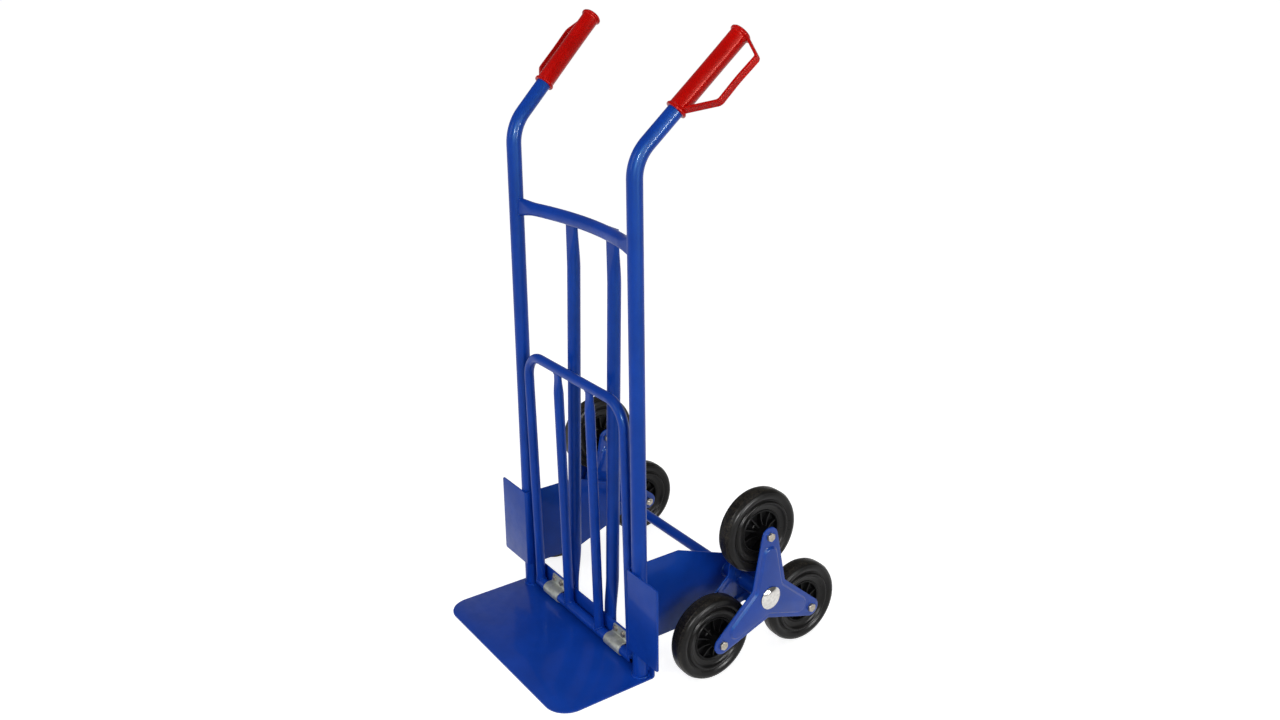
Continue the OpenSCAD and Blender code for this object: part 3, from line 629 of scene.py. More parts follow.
def grip_guard():
    """Hand guard: a moulded strip from the collar out to the side and back to the end flange."""
    out, wide = guard_axes()
    corners = [
        (GUARD_ROOT, 0, 7.4), (GUARD_REACH, 0, GUARD_LOW),
        (GUARD_REACH - GUARD_BOW, 0, (GUARD_LOW + GUARD_HIGH) / 2),
        (GUARD_REACH, 0, GUARD_HIGH), (GUARD_ROOT, 0, GRIP_LEN - 2.6),
    ]
    rings = []
    section = guard_section()
    for point, along in rounded_path(corners, (10.0, 300.0, 8.0)):
        centre = out * point.x + UP * point.z
        direction = out * along.x + UP * along.z
        outer = wide.cross(direction).normalized()
        if outer.dot(out) < 0:
            outer = -outer
        rings.append([centre + wide * u + outer * v for u, v in section])
    return skin(rings)


def grip_web():
    """Small fillet between the sleeve and the root of the guard's upper leg."""
    out, wide = guard_axes()
    stations = ((150.0, 15.2, 1.0), (155.0, 17.4, 2.6), (159.5, 20.5, 4.4), (163.0, 22.4, 5.6))
    rings = []
    for z, reach, half in stations:
        ring = []
        for i in range(16):
            a = 2 * math.pi * i / 16
            run = mix(12.0, reach, 0.5 + 0.5 * math.cos(a))
            ring.append(out * run + wide * half * math.sin(a) + UP * z)
        rings.append(ring)
    return skin(rings)


# ---- crossbar and slats ----


def bow_centre(a):
    return Vector((BOW_R * math.sin(a), BOW - BOW_R + BOW_R * math.cos(a), CROSSBAR_Z))


def crossbar_shape():
    """Bowed tube whose ends are pressed flat where they meet the rails."""
    limit = math.asin(BOW_HALF / BOW_R)
    steps = 72
    rings = []
    for k in range(steps + 1):
        a = mix(-limit, limit, k / steps)
        t = smoothstep((BOW_HALF - abs(BOW_R * math.sin(a))) / BAR_END_LEN)
        along = Vector((math.cos(a), -math.sin(a), 0))
        width, depth = mix(BAR_END_W, 2 * BAR_R, t), mix(BAR_END_T, 2 * BAR_R, t)
        rings.append(tube_ring(bow_centre(a), along, UP, width, depth))
    return skin(rings)


def slat_seat():
    """Rear face of the crossbar behind a slat's place, where the slat's head lies against it."""
    return math.sqrt(BOW_R**2 - SLAT_X**2) + BOW - BOW_R + BAR_R


def slat_shape():
    """Upright tube with both ends pressed flat: the foot behind the upstand, the top behind the crossbar."""
    upstand = TOE_T + RAIL_R
    foot = (upstand + SLAT_END_T / 2, SLAT_END_W, SLAT_END_T)
    head = (slat_seat() + SLAT_END_T / 2, SLAT_END_W, SLAT_END_T)
    low = (upstand + BAR_R - 2.0, 2 * BAR_R, 2 * BAR_R)
    high = (slat_seat() + SLAT_END_T / 2 + 2.0, 2 * BAR_R, 2 * BAR_R)
    foot_top = UPSTAND_H + 2.0
    top = CROSSBAR_Z + SLAT_TOP_OVER
    head_low = top - SLAT_TOP_LEN
    stations = [(15.0, foot), (30.0, foot)]
    steps = 20
    for k in range(steps + 1):
        t = k / steps
        z = foot_top + SLAT_TAPER * t
        stations.append((z, tuple(mix(p, q, smoothstep(t)) for p, q in zip(foot, low))))
    for k in range(steps + 1):
        t = k / steps
        z = head_low - SLAT_TAPER * (1 - t)
        stations.append((z, tuple(mix(p, q, smoothstep(t)) for p, q in zip(high, head))))
    stations.append((top, head))
    across = Vector((1, 0, 0))
    return skin([tube_ring(Vector((SLAT_X, y, z)), UP, across, w, d) for z, (y, w, d) in stations])


# ---- sheet metal ----


def toe_plate_shape():
    mid = TOE_T / 2
    stations = []

    def station(y, z, half, normal):
        stations.append(((-half, y, z), (half, y, z), normal))

    for u, v in arc((0, 0), TOE_CORNER_R, 90, 0, 14):
        station(-TOE_REACH + TOE_CORNER_R - v, mid, TOE_HALF_W - TOE_CORNER_R + u, (0, 0, 1))
    fold_y = RAIL_R + TOE_T - FOLD_R - mid
    for k in range(9):
        a = math.radians(90 * k / 8)
        centre = (fold_y + FOLD_R * math.sin(a), mid + FOLD_R - FOLD_R * math.cos(a))
        station(*centre, TOE_HALF_W, (0, -math.sin(a), math.cos(a)))
    for u, v in arc((0, 0), UPSTAND_CORNER_R, 0, 90, 8):
        half = TOE_HALF_W - UPSTAND_CORNER_R + u
        station(RAIL_R + mid, UPSTAND_H - UPSTAND_CORNER_R + v, half, (0, -1, 0))
    return sheet(stations, TOE_T)


def side_plate_shape():
    """Wing across the front of the wheels, folded into a cheek that carries the axle."""
    t = SIDE_T
    r = SIDE_CORNER_R
    stations = []
    wing_y = -RAIL_R - t / 2
    edge_x = HALF_RAIL + WING_REACH
    for u, v in arc((0, 0), r, 0, 90, 5):
        low = (edge_x - r + u, wing_y, SIDE_Z0 + r - v)
        high = (edge_x - r + u, wing_y, SIDE_Z1 - r + v)
        stations.append((low, high, (0, -1, 0)))
    for k in range(9):
        a = math.radians(90 * k / 8)
        x = CHEEK_X + t / 2 + FOLD_R - FOLD_R * math.sin(a)
        y = wing_y + FOLD_R - FOLD_R * math.cos(a)
        stations.append(((x, y, SIDE_Z0), (x, y, SIDE_Z1), (-math.sin(a), -math.cos(a), 0)))
    x = CHEEK_X + t / 2
    rear = AXLE.y + CHEEK_BEHIND_AXLE
    low_z, high_z = AXLE.z - CHEEK_BELOW_AXLE, AXLE.z + CHEEK_ABOVE_AXLE
    stations.append(((x, CHEEK_TAPER_Y, SIDE_Z0), (x, CHEEK_TAPER_Y, SIDE_Z1), (-1, 0, 0)))
    for u, v in arc((0, 0), r, 70, 0, 5):
        low = (x, rear - r + u, low_z + r - v)
        high = (x, rear - r + u, high_z - r + v)
        stations.append((low, high, (-1, 0, 0)))
    return sheet(stations, t)


def strap_shape():
    """Galvanised strap round the hinge tube, with an ear bolted to the upstand."""
    mid_r = HINGE_TUBE_R + STRAP_PLAY + STRAP_T / 2
    ear_y = RAIL_R - STRAP_T / 2
    bend, corner = STRAP_BEND_R, STRAP_CORNER_R
    stations = []

    def station(y, z, half, normal):
        stations.append(((STRAP_X - half, y, z), (STRAP_X + half, y, z), normal))

    for y, z in arc((HINGE.y, HINGE.z), mid_r, 270, 90, 24):
        station(y, z, STRAP_HALF, (0, (y - HINGE.y) / mid_r, (z - HINGE.z) / mid_r))
    base_z = HINGE.z + mid_r
    for k in range(7):
        a = math.radians(90 * k / 6)
        y = ear_y - bend + bend * math.sin(a)
        z = base_z + bend - bend * math.cos(a)
        half = mix(STRAP_HALF, STRAP_TOP_HALF + (STRAP_TOP_Z - z) * STRAP_TOP_SLOPE, k / 6)
        station(y, z, half, (0, -math.sin(a), math.cos(a)))
    for u, v in arc((0, 0), corner, 0, 90, 6):
        z = STRAP_TOP_Z - corner + v
        station(ear_y, z, STRAP_TOP_HALF + corner * STRAP_TOP_SLOPE - corner + u, (0, -1, 0))
    return sheet(stations, STRAP_T)


# ---- fasteners ----


def hex_radius(across):
    """Radius of a hexagon, as a function of the angle."""
    sector = math.radians(60)
    return lambda a: across / 2 / math.cos((a + sector / 2) % sector - sector / 2)


def hex_head(across, height, both=False):
    """Hexagon round Z with its corners chamfered off at the top, or at both ends."""
    flat = hex_radius(across)
    corner = across / 2 / math.cos(math.radians(30))
    drop = (corner - across / 2 + 0.25) * 0.58

    def ring(h, from_end):
        limit = across / 2 - 0.25 + from_end / 0.58
        return circle(lambda a: min(flat(a), limit), h, 72)

    rings = [ring(0, drop)]
    if both:
        rings = [ring(0, 0.0), ring(drop / 2, drop / 2), ring(drop, drop)]
    rings += [ring(height - drop, drop), ring(height - drop / 2, drop / 2), ring(height, 0.0)]
    return skin(rings)


def washer(outer, inner, height):
    """Flat washer round Z with its edges broken."""
    c = min(0.3, height / 4)
    rim = [(outer - c, 0), (outer, c), (outer, height - c), (outer - c, height)]
    return turned([(inner, 0)] + rim + [(inner, height)], 64, closed=True)


def threaded_rod(radius, length, pitch):
    """Threaded end round Z, its crests as rings, with a chamfered tip."""
    profile = [(radius * 0.86, 0.0)]
    turns = int((length - 1.2) / pitch)
    for k in range(turns):
        profile += [(radius, pitch * (k + 0.5)), (radius * 0.86, pitch * (k + 1))]
    profile += [(radius * 0.95, pitch * turns + 0.4), (radius * 0.72, length)]
    return turned(profile, 32)


# ---- star plates ----


def star_ring(root, tip, fillet, x, arm=ARM_R):
    """Outline of a three-armed star round the X axis: tapered arms that meet in rounded notches."""
    slope = math.asin((root - tip) / arm)
    notch = math.radians(30) - slope
    reach = (root + fillet) / math.cos(notch)
    side = math.pi / 2 - slope
    ring = []
    for a in WHEELS.values():
        a = math.radians(a)
        bisector = a + math.radians(60)
        for k in range(17):
            t = a + mix(-side, side, k / 16)
            y = arm * math.cos(a) + tip * math.cos(t)
            z = arm * math.sin(a) + tip * math.sin(t)
            ring.append(Vector((x, y, z)))
        for k in range(7):
            t = bisector + mix(notch, -notch, k / 6)
            y = reach * math.cos(bisector) - fillet * math.cos(t)
            z = reach * math.sin(bisector) - fillet * math.sin(t)
            ring.append(Vector((x, y, z)))
    return ring


def star_plate_shape():
    """Pressed plate: a flat border, its front at x = 0, round a raised, hollow middle."""
    root, tip, fillet = STAR_ROOT_R, ARM_END_R, STAR_FILLET

    def border(inset, x):
        return star_ring(root - inset, tip - inset, fillet + inset, x)

    def middle(inset, x):
        end = mix(root, tip, STAR_RAISE_R / ARM_R)
        return star_ring(root - inset, end - inset, fillet + inset, x, arm=STAR_RAISE_R)

    rings = [
        middle(16.0, STAR_RAISE - STAR_T), middle(14.6, -STAR_T + 0.2), middle(14.2, -STAR_T),
        border(0.4, -STAR_T), border(0.0, -STAR_T + 0.4),
        border(0.0, -0.9), border(0.25, -0.3), border(0.9, 0.0),
        border(7.0, -0.05), middle(7.5, -0.05),
        middle(7.9, 0.0), middle(8.5, 0.4), middle(11.0, STAR_RAISE - 0.8),
        middle(11.7, STAR_RAISE - 0.25), middle(12.6, STAR_RAISE),
    ]
    return skin(rings)


# ---- wheels ----


def tyre_profile():
    """Closed section of the tyre as (radius, height), outboard side at +height.

    The sidewall steps up from the rim to a ring, dips into a groove and swells to the shoulder.
    """
    side = [
        (RIM_R, 10.2), (RIM_R + 0.3, 10.8), (RIM_R + 1.2, 11.2), (45.6, 11.4), (48.6, 12.0), (51.2, 13.0),
        (53.0, 14.6), (54.2, 16.4), (55.2, 17.3), (56.4, 17.7), (57.6, 17.5), (58.5, 16.6), (59.2, 15.2),
        (60.0, 14.3), (61.0, 14.2), (62.2, 14.9), (63.8, 16.1), (65.8, 17.1), (68.2, 17.8), (70.4, 17.95),
        (72.2, 17.6), (73.6, 16.7), (74.5, 16.3), (75.4, 16.2), (76.4, 15.4), (77.6, 13.6), (78.6, 11.4),
        (79.2, 9.6), (79.4, 8.8), (79.9, 8.4), (79.95, 7.6), (79.6, 7.2),
    ]
    tread = [(79.9, 5.0), (WHEEL_R, 1.0), (WHEEL_R, -1.0), (79.9, -5.0)]
    inboard = [(r, -h) for r, h in reversed(side)]
    grooves = [(79.65, -8.4), (79.4, -9.0), (78.5, -9.5), (78.9, -10.2)]
    grooves += [(78.9, -11.0), (78.0, -11.6), (78.1, -12.4)]
    return side + tread + grooves + [p for p in inboard if p[0] < 77.5]


def rim_shapes():
    """Moulded rim: barrel with lipped edges, thin web, hub and radial ribs on both sides."""
    w = RIM_HALF_W
    inner = RIM_R - 4.0
    hub = STAR_HALF_GAP - HUB_PLAY
    barrel = [
        (RIM_R - 0.1, -w + 1.2), (RIM_R - 0.1, w - 1.2), (RIM_R - 1.0, w - 0.2), (RIM_R - 2.6, w),
        (inner + 0.3, w - 0.8), (inner, w - 2.4), (inner - 0.3, 3.4), (inner - 1.6, 2.0),
        (RIM_HUB_R + 1.8, 2.0), (RIM_HUB_R + 0.3, 3.6), (RIM_HUB_R, hub - 0.6), (RIM_HUB_R - 0.6, hub),
        (BUSH_R + 0.1, hub),
    ]
    mirrored = [(r, -h) for r, h in reversed(barrel[2:])]
    shapes = [turned(barrel + mirrored, WHEEL_SIDES, closed=True)]
    start = RIM_HUB_R - 1.5
    # height, half thickness and outer radius of a rib
    levels = ((1.0, 1.7, 39.5), (9.0, 1.3, 39.5), (11.0, 1.1, 24.0), (15.5, 0.9, 14.0))
    for k in range(RIB_COUNT):
        a = 2 * math.pi * (k + 0.5) / RIB_COUNT
        out = Vector((math.cos(a), math.sin(a), 0))
        across = Vector((-math.sin(a), math.cos(a), 0))
        for way in (1, -1):
            rings = []
            for h, half, end in levels:
                z = UP * h * way
                rings.append([
                    out * start - across * half + z, out * end - across * half + z,
                    out * end + across * half + z, out * start + across * half + z,
                ])
            shapes.append(skin(rings))
    return shapes


def hub_cap_shape():
    """Pressed cap: low skirt with a rolled foot, and a dome that turns down into it."""
    profile = [(CAP_R - 1.0, 0.0), (CAP_R - 0.2, 0.2), (CAP_R, 0.7), (CAP_R, CAP_SKIRT - 0.7)]
    rise, base = CAP_H - CAP_SKIRT + 0.7, CAP_R
    for k in range(1, 24):
        t = 1 - (k / 24) ** 1.6
        profile.append((base * t, CAP_H - rise * t**2.8))
    profile.append((0.3, CAP_H))
    return turned(profile, 64)


# ---- folding frame ----


def on_hinge(shape):
    """Places a shape made upright on the hinge, leaning with the folding frame."""
    back = Vector((0, math.cos(LEAN), math.sin(LEAN)))
    up = Vector((0, -math.sin(LEAN), math.cos(LEAN)))
    return placed(shape, HINGE, x=(1, 0, 0), y=back, z=up)


def hoop_shape():
    front = Vector((0, -1, 0))
    straight = HOOP_H - HOOP_CORNER_R
    half = HOOP_HALF_W - HOOP_CORNER_R
    stations = [(Vector((HOOP_HALF_W, 0, 3.0)), UP), (Vector((HOOP_HALF_W, 0, straight)), UP)]
    steps = 20
    for k in range(1, steps + 1):
        a = math.pi / 2 * k / steps
        centre = Vector((half + HOOP_CORNER_R * math.cos(a), 0, straight + HOOP_CORNER_R * math.sin(a)))
        stations.append((centre, Vector((-math.sin(a), 0, math.cos(a)))))
    mirrored = [(Vector((-c.x, 0, c.z)), Vector((a.x, 0, -a.z))) for c, a in reversed(stations)]
    return skin([tube_ring(c, a, front, 2 * HOOP_R, 2 * HOOP_R) for c, a in stations + mirrored])


def fold_bar_shape():
    """Inner bar, flattened where it meets the hoop's top."""
    across = Vector((1, 0, 0))
    pad_z = HOOP_H - HOOP_R - 8.0
    stations = [(3.0, 2 * HOOP_R, 2 * HOOP_R)]
    steps = 14
    for k in range(steps + 1):
        t = smoothstep(k / steps)
        width, depth = mix(2 * HOOP_R, FOLD_BAR_END_W, t), mix(2 * HOOP_R, FOLD_BAR_END_T, t)
        stations.append((pad_z - FOLD_BAR_TAPER * (1 - k / steps), width, depth))
    stations.append((HOOP_H - 4.0, FOLD_BAR_END_W, FOLD_BAR_END_T))
    return skin([tube_ring(Vector((FOLD_BAR_X, 0, z)), UP, across, w, d) for z, w, d in stations])


def hinge_tube_shape():
    half = HINGE_TUBE_HALF
    outer, inner = HINGE_TUBE_R, HINGE_TUBE_R - HINGE_TUBE_T
    profile = [(inner, -half), (outer - 0.3, -half), (outer, -half + 0.3)]
    profile += [(outer, half - 0.3), (outer - 0.3, half), (inner, half)]
    return along_x(turned(profile, TUBE_SIDES, closed=True), (0, 0, 0))


# ---- welds ----


def saddle(x, bar_r, tube_r, lift=0.6):
    """Closed path round a bar that stands on a tube lying along X."""
    path = []
    for k in range(64):
        a = 2 * math.pi * k / 64
        r = bar_r + lift
        y = r * math.sin(a)
        path.append(Vector((x + r * math.cos(a), y, math.sqrt(max(0.0, (tube_r + lift) ** 2 - y * y)))))
    return path


def frame_weld_shapes():
    """Beads on one side of the frame: rail foot, crossbar end, slat ends, side plate and spacer."""
    shapes = []
    ring = [Vector((HALF_RAIL, 0, TOE_T + 0.8)) + p for p in circle(RAIL_R + 0.9, 0, 80)]
    shapes.append(bead(ring, 2.1, closed=True, seed=1))
    for k, s in enumerate((-1, 1)):
        x = HALF_RAIL + s * 7.2
        shapes.append(bead(line((x, RAIL_R - 1.2, 9), (x, RAIL_R - 1.2, UPSTAND_H - 1)), 1.9, seed=2 + k))
        x = HALF_RAIL + s * 6.6
        for j, z in enumerate((62.0, 124.0, 186.0)):
            shapes.append(bead(line((x, -RAIL_R + 1.3, z), (x, -RAIL_R + 1.3, z + 20)), 1.7, seed=4 + k + j))
    limit = math.asin((HALF_RAIL - RAIL_R + 0.5) / BOW_R)
    centre = bow_centre(limit)
    ring = tube_ring(centre, Vector((math.cos(limit), -math.sin(limit), 0)), UP, 35.0, 12.4, 90)
    fitted = []
    for p in ring:
        run = math.sqrt(max(0.0, (RAIL_R + 0.4) ** 2 - p.y**2))
        fitted.append(Vector((HALF_RAIL - run, p.y, p.z)))
    shapes.append(bead(fitted, 1.5, closed=True, seed=9))
    back = slat_seat()
    foot_y = RAIL_R + TOE_T
    for k, s in enumerate((-1, 1)):
        x = SLAT_X + s * (SLAT_END_W / 2 - 0.6)
        head = (x, back - 0.6, CROSSBAR_Z - 8), (x, back - 0.6, CROSSBAR_Z + 3)
        shapes.append(bead(line(*head), 1.6, seed=11 + k))
        foot = (x, foot_y + 0.7, 17), (x, foot_y + 0.7, UPSTAND_H - 1)
        shapes.append(bead(line(*foot), 1.7, seed=13 + k))
    under_head, over_head = (back - 1.8, CROSSBAR_Z - 8.6), (back - 0.6, CROSSBAR_Z + 4.2)
    over_foot = (foot_y - 0.4, UPSTAND_H + 0.6)
    for (y, z), seed in ((under_head, 15), (over_head, 19), (over_foot, 16)):
        shapes.append(bead(line((SLAT_X - 13, y, z), (SLAT_X + 13, y, z)), 1.7, seed=seed))
    ring = along_x((circle(SPACER_R + 0.6, 0, 72), []), (CHEEK_X + SIDE_T + 0.5, AXLE.y, AXLE.z))[0]
    shapes.append(bead(ring, 1.8, closed=True, seed=17))
    ring = along_x((circle(AXLE_R + 0.6, 0, 60), []), (CHEEK_X - 0.5, AXLE.y, AXLE.z))[0]
    shapes.append(bead(ring, 1.6, closed=True, seed=18))
    return shapes


def load_frame_weld_shapes():
    """Beads on one side of the folding frame."""
    shapes = [bead(saddle(HOOP_HALF_W - 1.0, HOOP_R - 0.6, HINGE_TUBE_R), 1.5, closed=True, seed=21)]
    shapes.append(bead(saddle(FOLD_BAR_X, HOOP_R, HINGE_TUBE_R), 1.5, closed=True, seed=22))
    z = HOOP_H - 8.8
    for k, s in enumerate((-1, 1)):
        path = line((FOLD_BAR_X - 9, s * 4.6, z), (FOLD_BAR_X + 9, s * 4.6, z))
        shapes.append(bead(path, 1.4, seed=23 + k))
    return [on_hinge(shape) for shape in shapes]


# ---- pieces ----


def make_frame(name, side):
    body = "frame"
    piece(f"{name}_rail_tube", [rail_shape()], body, BLUE, [f"{name}_rail"], side)
    piece(f"{name}_slat_tube", [slat_shape()], body, BLUE, [f"{name}_slat"], side)
    side_plate = [side_plate_shape()]
    piece(f"{name}_side_sheet", side_plate, body, BLUE, [f"{name}_side_plate"], side, bevel=SHEET_EDGE)
    grip = [on_handle(shape) for shape in (grip_sleeve(), grip_guard(), grip_web())]
    piece(f"{name}_vinyl_grip", grip, body, RED, [f"{name}_grip"], side, sharp_angle=50)
    strap = [strap_shape()]
    piece(f"{name}_strap_sheet", strap, body, GALVANISED, [f"{name}_hinge_strap"], side, bevel=0.3)
    piece(f"{name}_frame_welds", frame_weld_shapes(), body, BLUE, side=side, sharp_angle=80)
    end, bore = WASHER_X - CHEEK_X - SIDE_T, AXLE_R - 0.2
    spacer = [(bore, 0), (SPACER_R, 0), (SPACER_R, end - 0.3), (SPACER_R - 0.3, end), (bore, end)]
    spacer = along_x(turned(spacer, closed=True), (CHEEK_X + SIDE_T, AXLE.y, AXLE.z))
    piece(f"{name}_spacer_tube", [spacer], body, BLUE, [f"{name}_axle_spacer"], side)
    cap = along_x(hub_cap_shape(), (CAP_X, AXLE.y, AXLE.z))
    piece(f"{name}_chrome_cap", [cap], body, CHROME, [f"{name}_hub_cap"], side, sharp_angle=60)


def make_shared_frame():
    body = "frame"
    piece("crossbar_tube", [crossbar_shape()], body, BLUE, ["crossbar"])
    piece("toe_plate_sheet", [toe_plate_shape()], body, GLOSSY_BLUE, ["toe_plate"], bevel=SHEET_EDGE)
    half = CAP_X + CAP_SEAT - 0.5
    rod = [(AXLE_R - 0.4, -half), (AXLE_R, -half + 0.4), (AXLE_R, half - 0.4), (AXLE_R - 0.4, half)]
    piece("axle_bar", [along_x(turned(rod), (0, AXLE.y, AXLE.z))], body, BLUE, ["axle"])
    rings, bolts, nuts = [], [], []
    radius, flats, head, nut, tail = STRAP_BOLT
    front = dict(x=(1, 0, 0), y=(0, 0, 1), z=(0, -1, 0))
    rear = dict(x=(-1, 0, 0), y=(0, 0, 1), z=(0, 1, 0))
    face_y, back_y = RAIL_R - STRAP_T, RAIL_R + TOE_T
    for s in SIDES.values():
        start = WASHER_X if s > 0 else -WASHER_X - WASHER_T
        rings.append(along_x(washer(WASHER_R, AXLE_R - 0.1, WASHER_T), (start, AXLE.y, AXLE.z)))
        for t in (-1, 1):
            x, z = s * STRAP_X + t * STRAP_BOLT_X, STRAP_BOLT_Z
            flat_ring = washer(STRAP_WASHER_R, radius - 0.2, STRAP_WASHER_T)
            bolts.append(placed(flat_ring, (x, face_y, z), **front))
            bolts.append(placed(hex_head(flats, head), (x, face_y - STRAP_WASHER_T, z), **front))
            bolts.append(placed(threaded_rod(radius, tail, 1.0), (x, back_y, z), **rear))
            nuts.append(placed(hex_head(flats, nut, both=True), (x, back_y, z), **rear))
    piece("axle_washer_rings", rings, body, ZINC, ["axle_washers"])
    piece("strap_bolt_set", bolts, body, ZINC, ["hinge_bolts"], sharp_angle=25)
    piece("strap_nut_set", nuts, body, ZINC, ["hinge_nuts"], sharp_angle=25)


def make_load_frame():
    body = "load_frame"
    piece("hinge_pipe", [on_hinge(hinge_tube_shape())], body, BLUE, ["hinge_tube"])
    piece("hoop_pipe", [on_hinge(hoop_shape())], body, BLUE, ["fold_hoop"])
    for name, side in SIDES.items():
        piece(f"{name}_bar_pipe", [on_hinge(fold_bar_shape())], body, BLUE, [f"{name}_fold_bar"], side)
        piece(f"{name}_hinge_welds", load_frame_weld_shapes(), body, BLUE, side=side, sharp_angle=80)


def wheel_centre(angle):
    a = math.radians(angle)
    return Vector((WHEEL_X, AXLE.y + ARM_R * math.cos(a), AXLE.z + ARM_R * math.sin(a)))


def make_star(name, side):
    body = f"{name}_star"
    hub = Vector((0, AXLE.y, AXLE.z))
    plate = star_plate_shape()
    outer = placed(plate, hub + Vector((STAR_FACE_X, 0, 0)))
    inner = placed(plate, hub + Vector((WHEEL_X - STAR_HALF_GAP - STAR_T, 0, 0)), x=(-1, 0, 0))
    piece(f"{name}_star_face", [outer], body, GLOSSY_BLUE, [f"{name}_outer_star_plate"], side, sharp_angle=28)
    piece(f"{name}_star_back", [inner], body, GLOSSY_BLUE, [f"{name}_inner_star_plate"], side, sharp_angle=28)
    half = STAR_HALF_GAP + STAR_RAISE
    tube = [(AXLE_R + 0.1, 0), (HUB_TUBE_R, 0), (HUB_TUBE_R, 2 * half), (AXLE_R + 0.1, 2 * half)]
    tube = along_x(turned(tube, closed=True), hub + Vector((WHEEL_X - half, 0, 0)))
    piece(f"{name}_hub_pipe", [tube], body, BLUE, [f"{name}_hub_tube"], side)
    bolts, nuts, tubes = [], [], []
    radius, flats, head, nut, tail = WHEEL_BOLT
    outer_face = Vector((STAR_HALF_GAP + STAR_T, 0, 0))
    inward = dict(x=(0, -1, 0), y=(0, 0, 1), z=(-1, 0, 0))
    bore, length = radius + 0.1, 2 * STAR_HALF_GAP
    sleeve = turned([(bore, 0), (BUSH_R, 0), (BUSH_R, length), (bore, length)], 40, closed=True)
    for angle in WHEELS.values():
        centre = wheel_centre(angle)
        bolts.append(along_x(hex_head(flats, head), centre + outer_face))
        bolts.append(placed(threaded_rod(radius, tail, 1.5), centre - outer_face, **inward))
        nuts.append(placed(hex_head(flats, nut, both=True), centre - outer_face, **inward))
        tubes.append(along_x(sleeve, centre - Vector((STAR_HALF_GAP, 0, 0))))
    piece(f"{name}_bolt_set", bolts, body, ZINC, [f"{name}_wheel_bolts"], side, sharp_angle=25)
    piece(f"{name}_nut_set", nuts, body, ZINC, [f"{name}_wheel_nuts"], side, sharp_angle=25)
    piece(f"{name}_wheel_sleeves", tubes, body, ZINC, [f"{name}_wheel_tubes"], side)


def make_wheel(name, side, wheel):
    body = f"{name}_{wheel}_wheel"
    centre = wheel_centre(WHEELS[wheel])
    profile = tyre_profile()
    shape = along_x(turned(profile, WHEEL_SIDES, closed=True), centre)
    tyre = piece(f"{body}_rubber", [shape], body, RUBBER, [f"{name}_{wheel}_tyre"], side, sharp_angle=40)
    tread = tyre.data.attributes.new("tread", "FLOAT", "POINT")
    for k, (radius, _) in enumerate(profile):
        worn = smoothstep((radius - WORN_R) / 3.5)
        for i in range(WHEEL_SIDES):
            tread.data[k * WHEEL_SIDES + i].value = worn
    rim = [along_x(shape, centre) for shape in rim_shapes()]
    piece(f"{body}_core", rim, body, BLACK, [f"{name}_{wheel}_rim"], side)


make_shared_frame()
make_load_frame()
for side_name, side_sign in SIDES.items():
    make_frame(side_name, side_sign)
    make_star(side_name, side_sign)
    for wheel_name in WHEELS:
        make_wheel(side_name, side_sign, wheel_name)

# ---- camera, floor and light ----


def make_camera():
    camera = bpy.data.objects.new("camera", bpy.data.cameras.new("camera"))
    camera.location = (1.7544, RAIL_Y / 1000 - 1.0487, 1.3165)
    camera.rotation_euler = (math.radians(72.34), 0, math.radians(53.70))
    camera.data.lens = 33.40
    camera.data.shift_x = -0.0323
    camera.data.shift_y = -0.0450
    bpy.context.scene.collection.objects.link(camera)
    bpy.context.scene.camera = camera


def seen_by_camera(nodes, links):
    """Socket that is 1 for what the camera sees, straight or in a reflection."""
    path = nodes.new("ShaderNodeLightPath")
    value = path.outputs["Is Camera Ray"]
    for name in ("Is Glossy Ray", "Is Transmission Ray"):
        node = nodes.new("ShaderNodeMath")
        node.operation = "MAXIMUM"
        links.new(value, node.inputs[0])
        links.new(path.outputs[name], node.inputs[1])
        value = node.outputs["Value"]
    return value


def make_floor():
    mesh = bpy.data.meshes.new("floor")
    half = 30.0
    corners = [(-half, -half, 0), (half, -half, 0), (half, half, 0), (-half, half, 0)]
    mesh.from_pydata(corners, [], [(0, 1, 2, 3)])
    floor = bpy.data.objects.new("floor", mesh)
    bpy.context.scene.collection.objects.link(floor)
    material = bpy.data.materials.new("studio_floor")
    material.use_nodes = True
    nodes, links = material.node_tree.nodes, material.node_tree.links
    shader = nodes["Principled BSDF"]
    shader.inputs["Base Color"].default_value = (0.6, 0.6, 0.6, 1)
    shader.inputs["Roughness"].default_value = 0.9
    shader.inputs["Specular IOR Level"].default_value = 0.0
    shader.inputs["Emission Color"].default_value = (1, 1, 1, 1)
    glow = nodes.new("ShaderNodeMath")
    glow.operation = "MULTIPLY"
    glow.inputs[1].default_value = 0.82
    links.new(seen_by_camera(nodes, links), glow.inputs[0])
    links.new(glow.outputs["Value"], shader.inputs["Emission Strength"])
    mesh.materials.append(material)


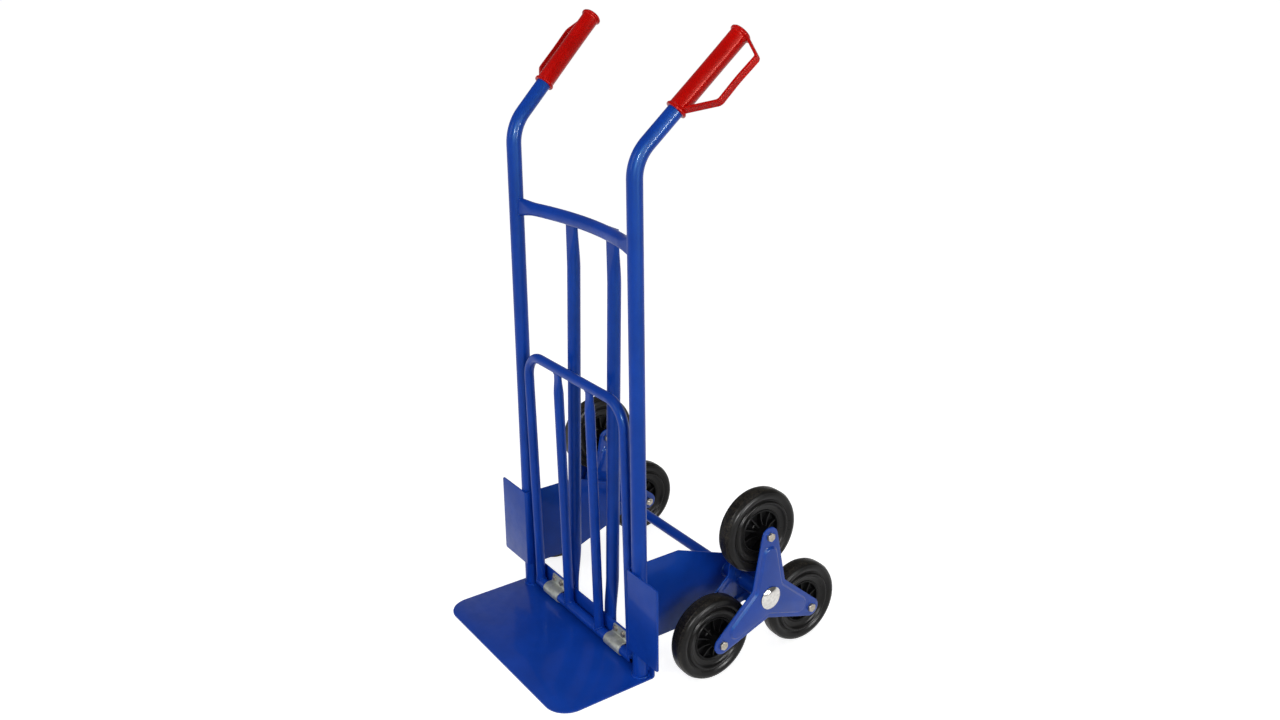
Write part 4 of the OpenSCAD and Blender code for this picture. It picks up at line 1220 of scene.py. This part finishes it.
def make_world():
    """White at the horizon and below it, and dark above, for what is seen straight or mirrored.

    The light that the world gives to the object is plain and doesn't follow this.
    """
    world = bpy.data.worlds.new("studio")
    bpy.context.scene.world = world
    world.use_nodes = True
    nodes, links = world.node_tree.nodes, world.node_tree.links
    background = nodes["Background"]
    background.inputs["Color"].default_value = (1, 1, 1, 1)
    split = nodes.new("ShaderNodeSeparateXYZ")
    links.new(nodes.new("ShaderNodeTexCoord").outputs["Generated"], split.inputs["Vector"])
    ceiling = nodes.new("ShaderNodeMapRange")
    ceiling.interpolation_type = "SMOOTHSTEP"
    for key, value in (("From Min", 0.05), ("From Max", 0.20), ("To Min", 1.0), ("To Max", 0.16)):
        ceiling.inputs[key].default_value = value
    links.new(split.outputs["Z"], ceiling.inputs["Value"])
    level = nodes.new("ShaderNodeMapRange")
    level.inputs["To Min"].default_value = 0.32
    links.new(ceiling.outputs["Result"], level.inputs["To Max"])
    links.new(seen_by_camera(nodes, links), level.inputs["Value"])
    links.new(level.outputs["Result"], background.inputs["Strength"])


def make_lamp(name, place, watts, width, height, target=(0, 0, 0.5)):
    """Area lamp that looks at the target, width across and height up."""
    lamp = bpy.data.objects.new(name, bpy.data.lights.new(name, "AREA"))
    lamp.location = place
    lamp.data.energy = watts
    lamp.data.shape = "RECTANGLE"
    lamp.data.size = width
    lamp.data.size_y = height
    aim = Vector(target) - Vector(place)
    lamp.rotation_euler = aim.to_track_quat("-Z", "Y").to_euler()
    bpy.context.scene.collection.objects.link(lamp)
    return lamp


make_camera()
make_floor()
make_world()
make_lamp("key", (3.2, -0.6, 1.6), 37.0, 1.6, 1.6)
make_lamp("fill", (-0.4, -3.0, 2.0), 30.0, 1.6, 1.6)
make_lamp("top", (0.2, 0.4, 3.4), 11.0, 2.0, 2.0)
# lamps that only show as highlights on gloss
glints = [
    make_lamp("strip", (2.8, 0.5, 1.02), 68.0, 0.6, 0.6, (0.2, 0.15, 1.0)),
    make_lamp("flash", (1.82, -1.42, 1.52), 75.0, 0.34, 0.34, (0, 0.1, 0.8)),
]
for lamp in glints:
    lamp.visible_diffuse = False

bpy.context.scene.view_settings.view_transform = "Standard"
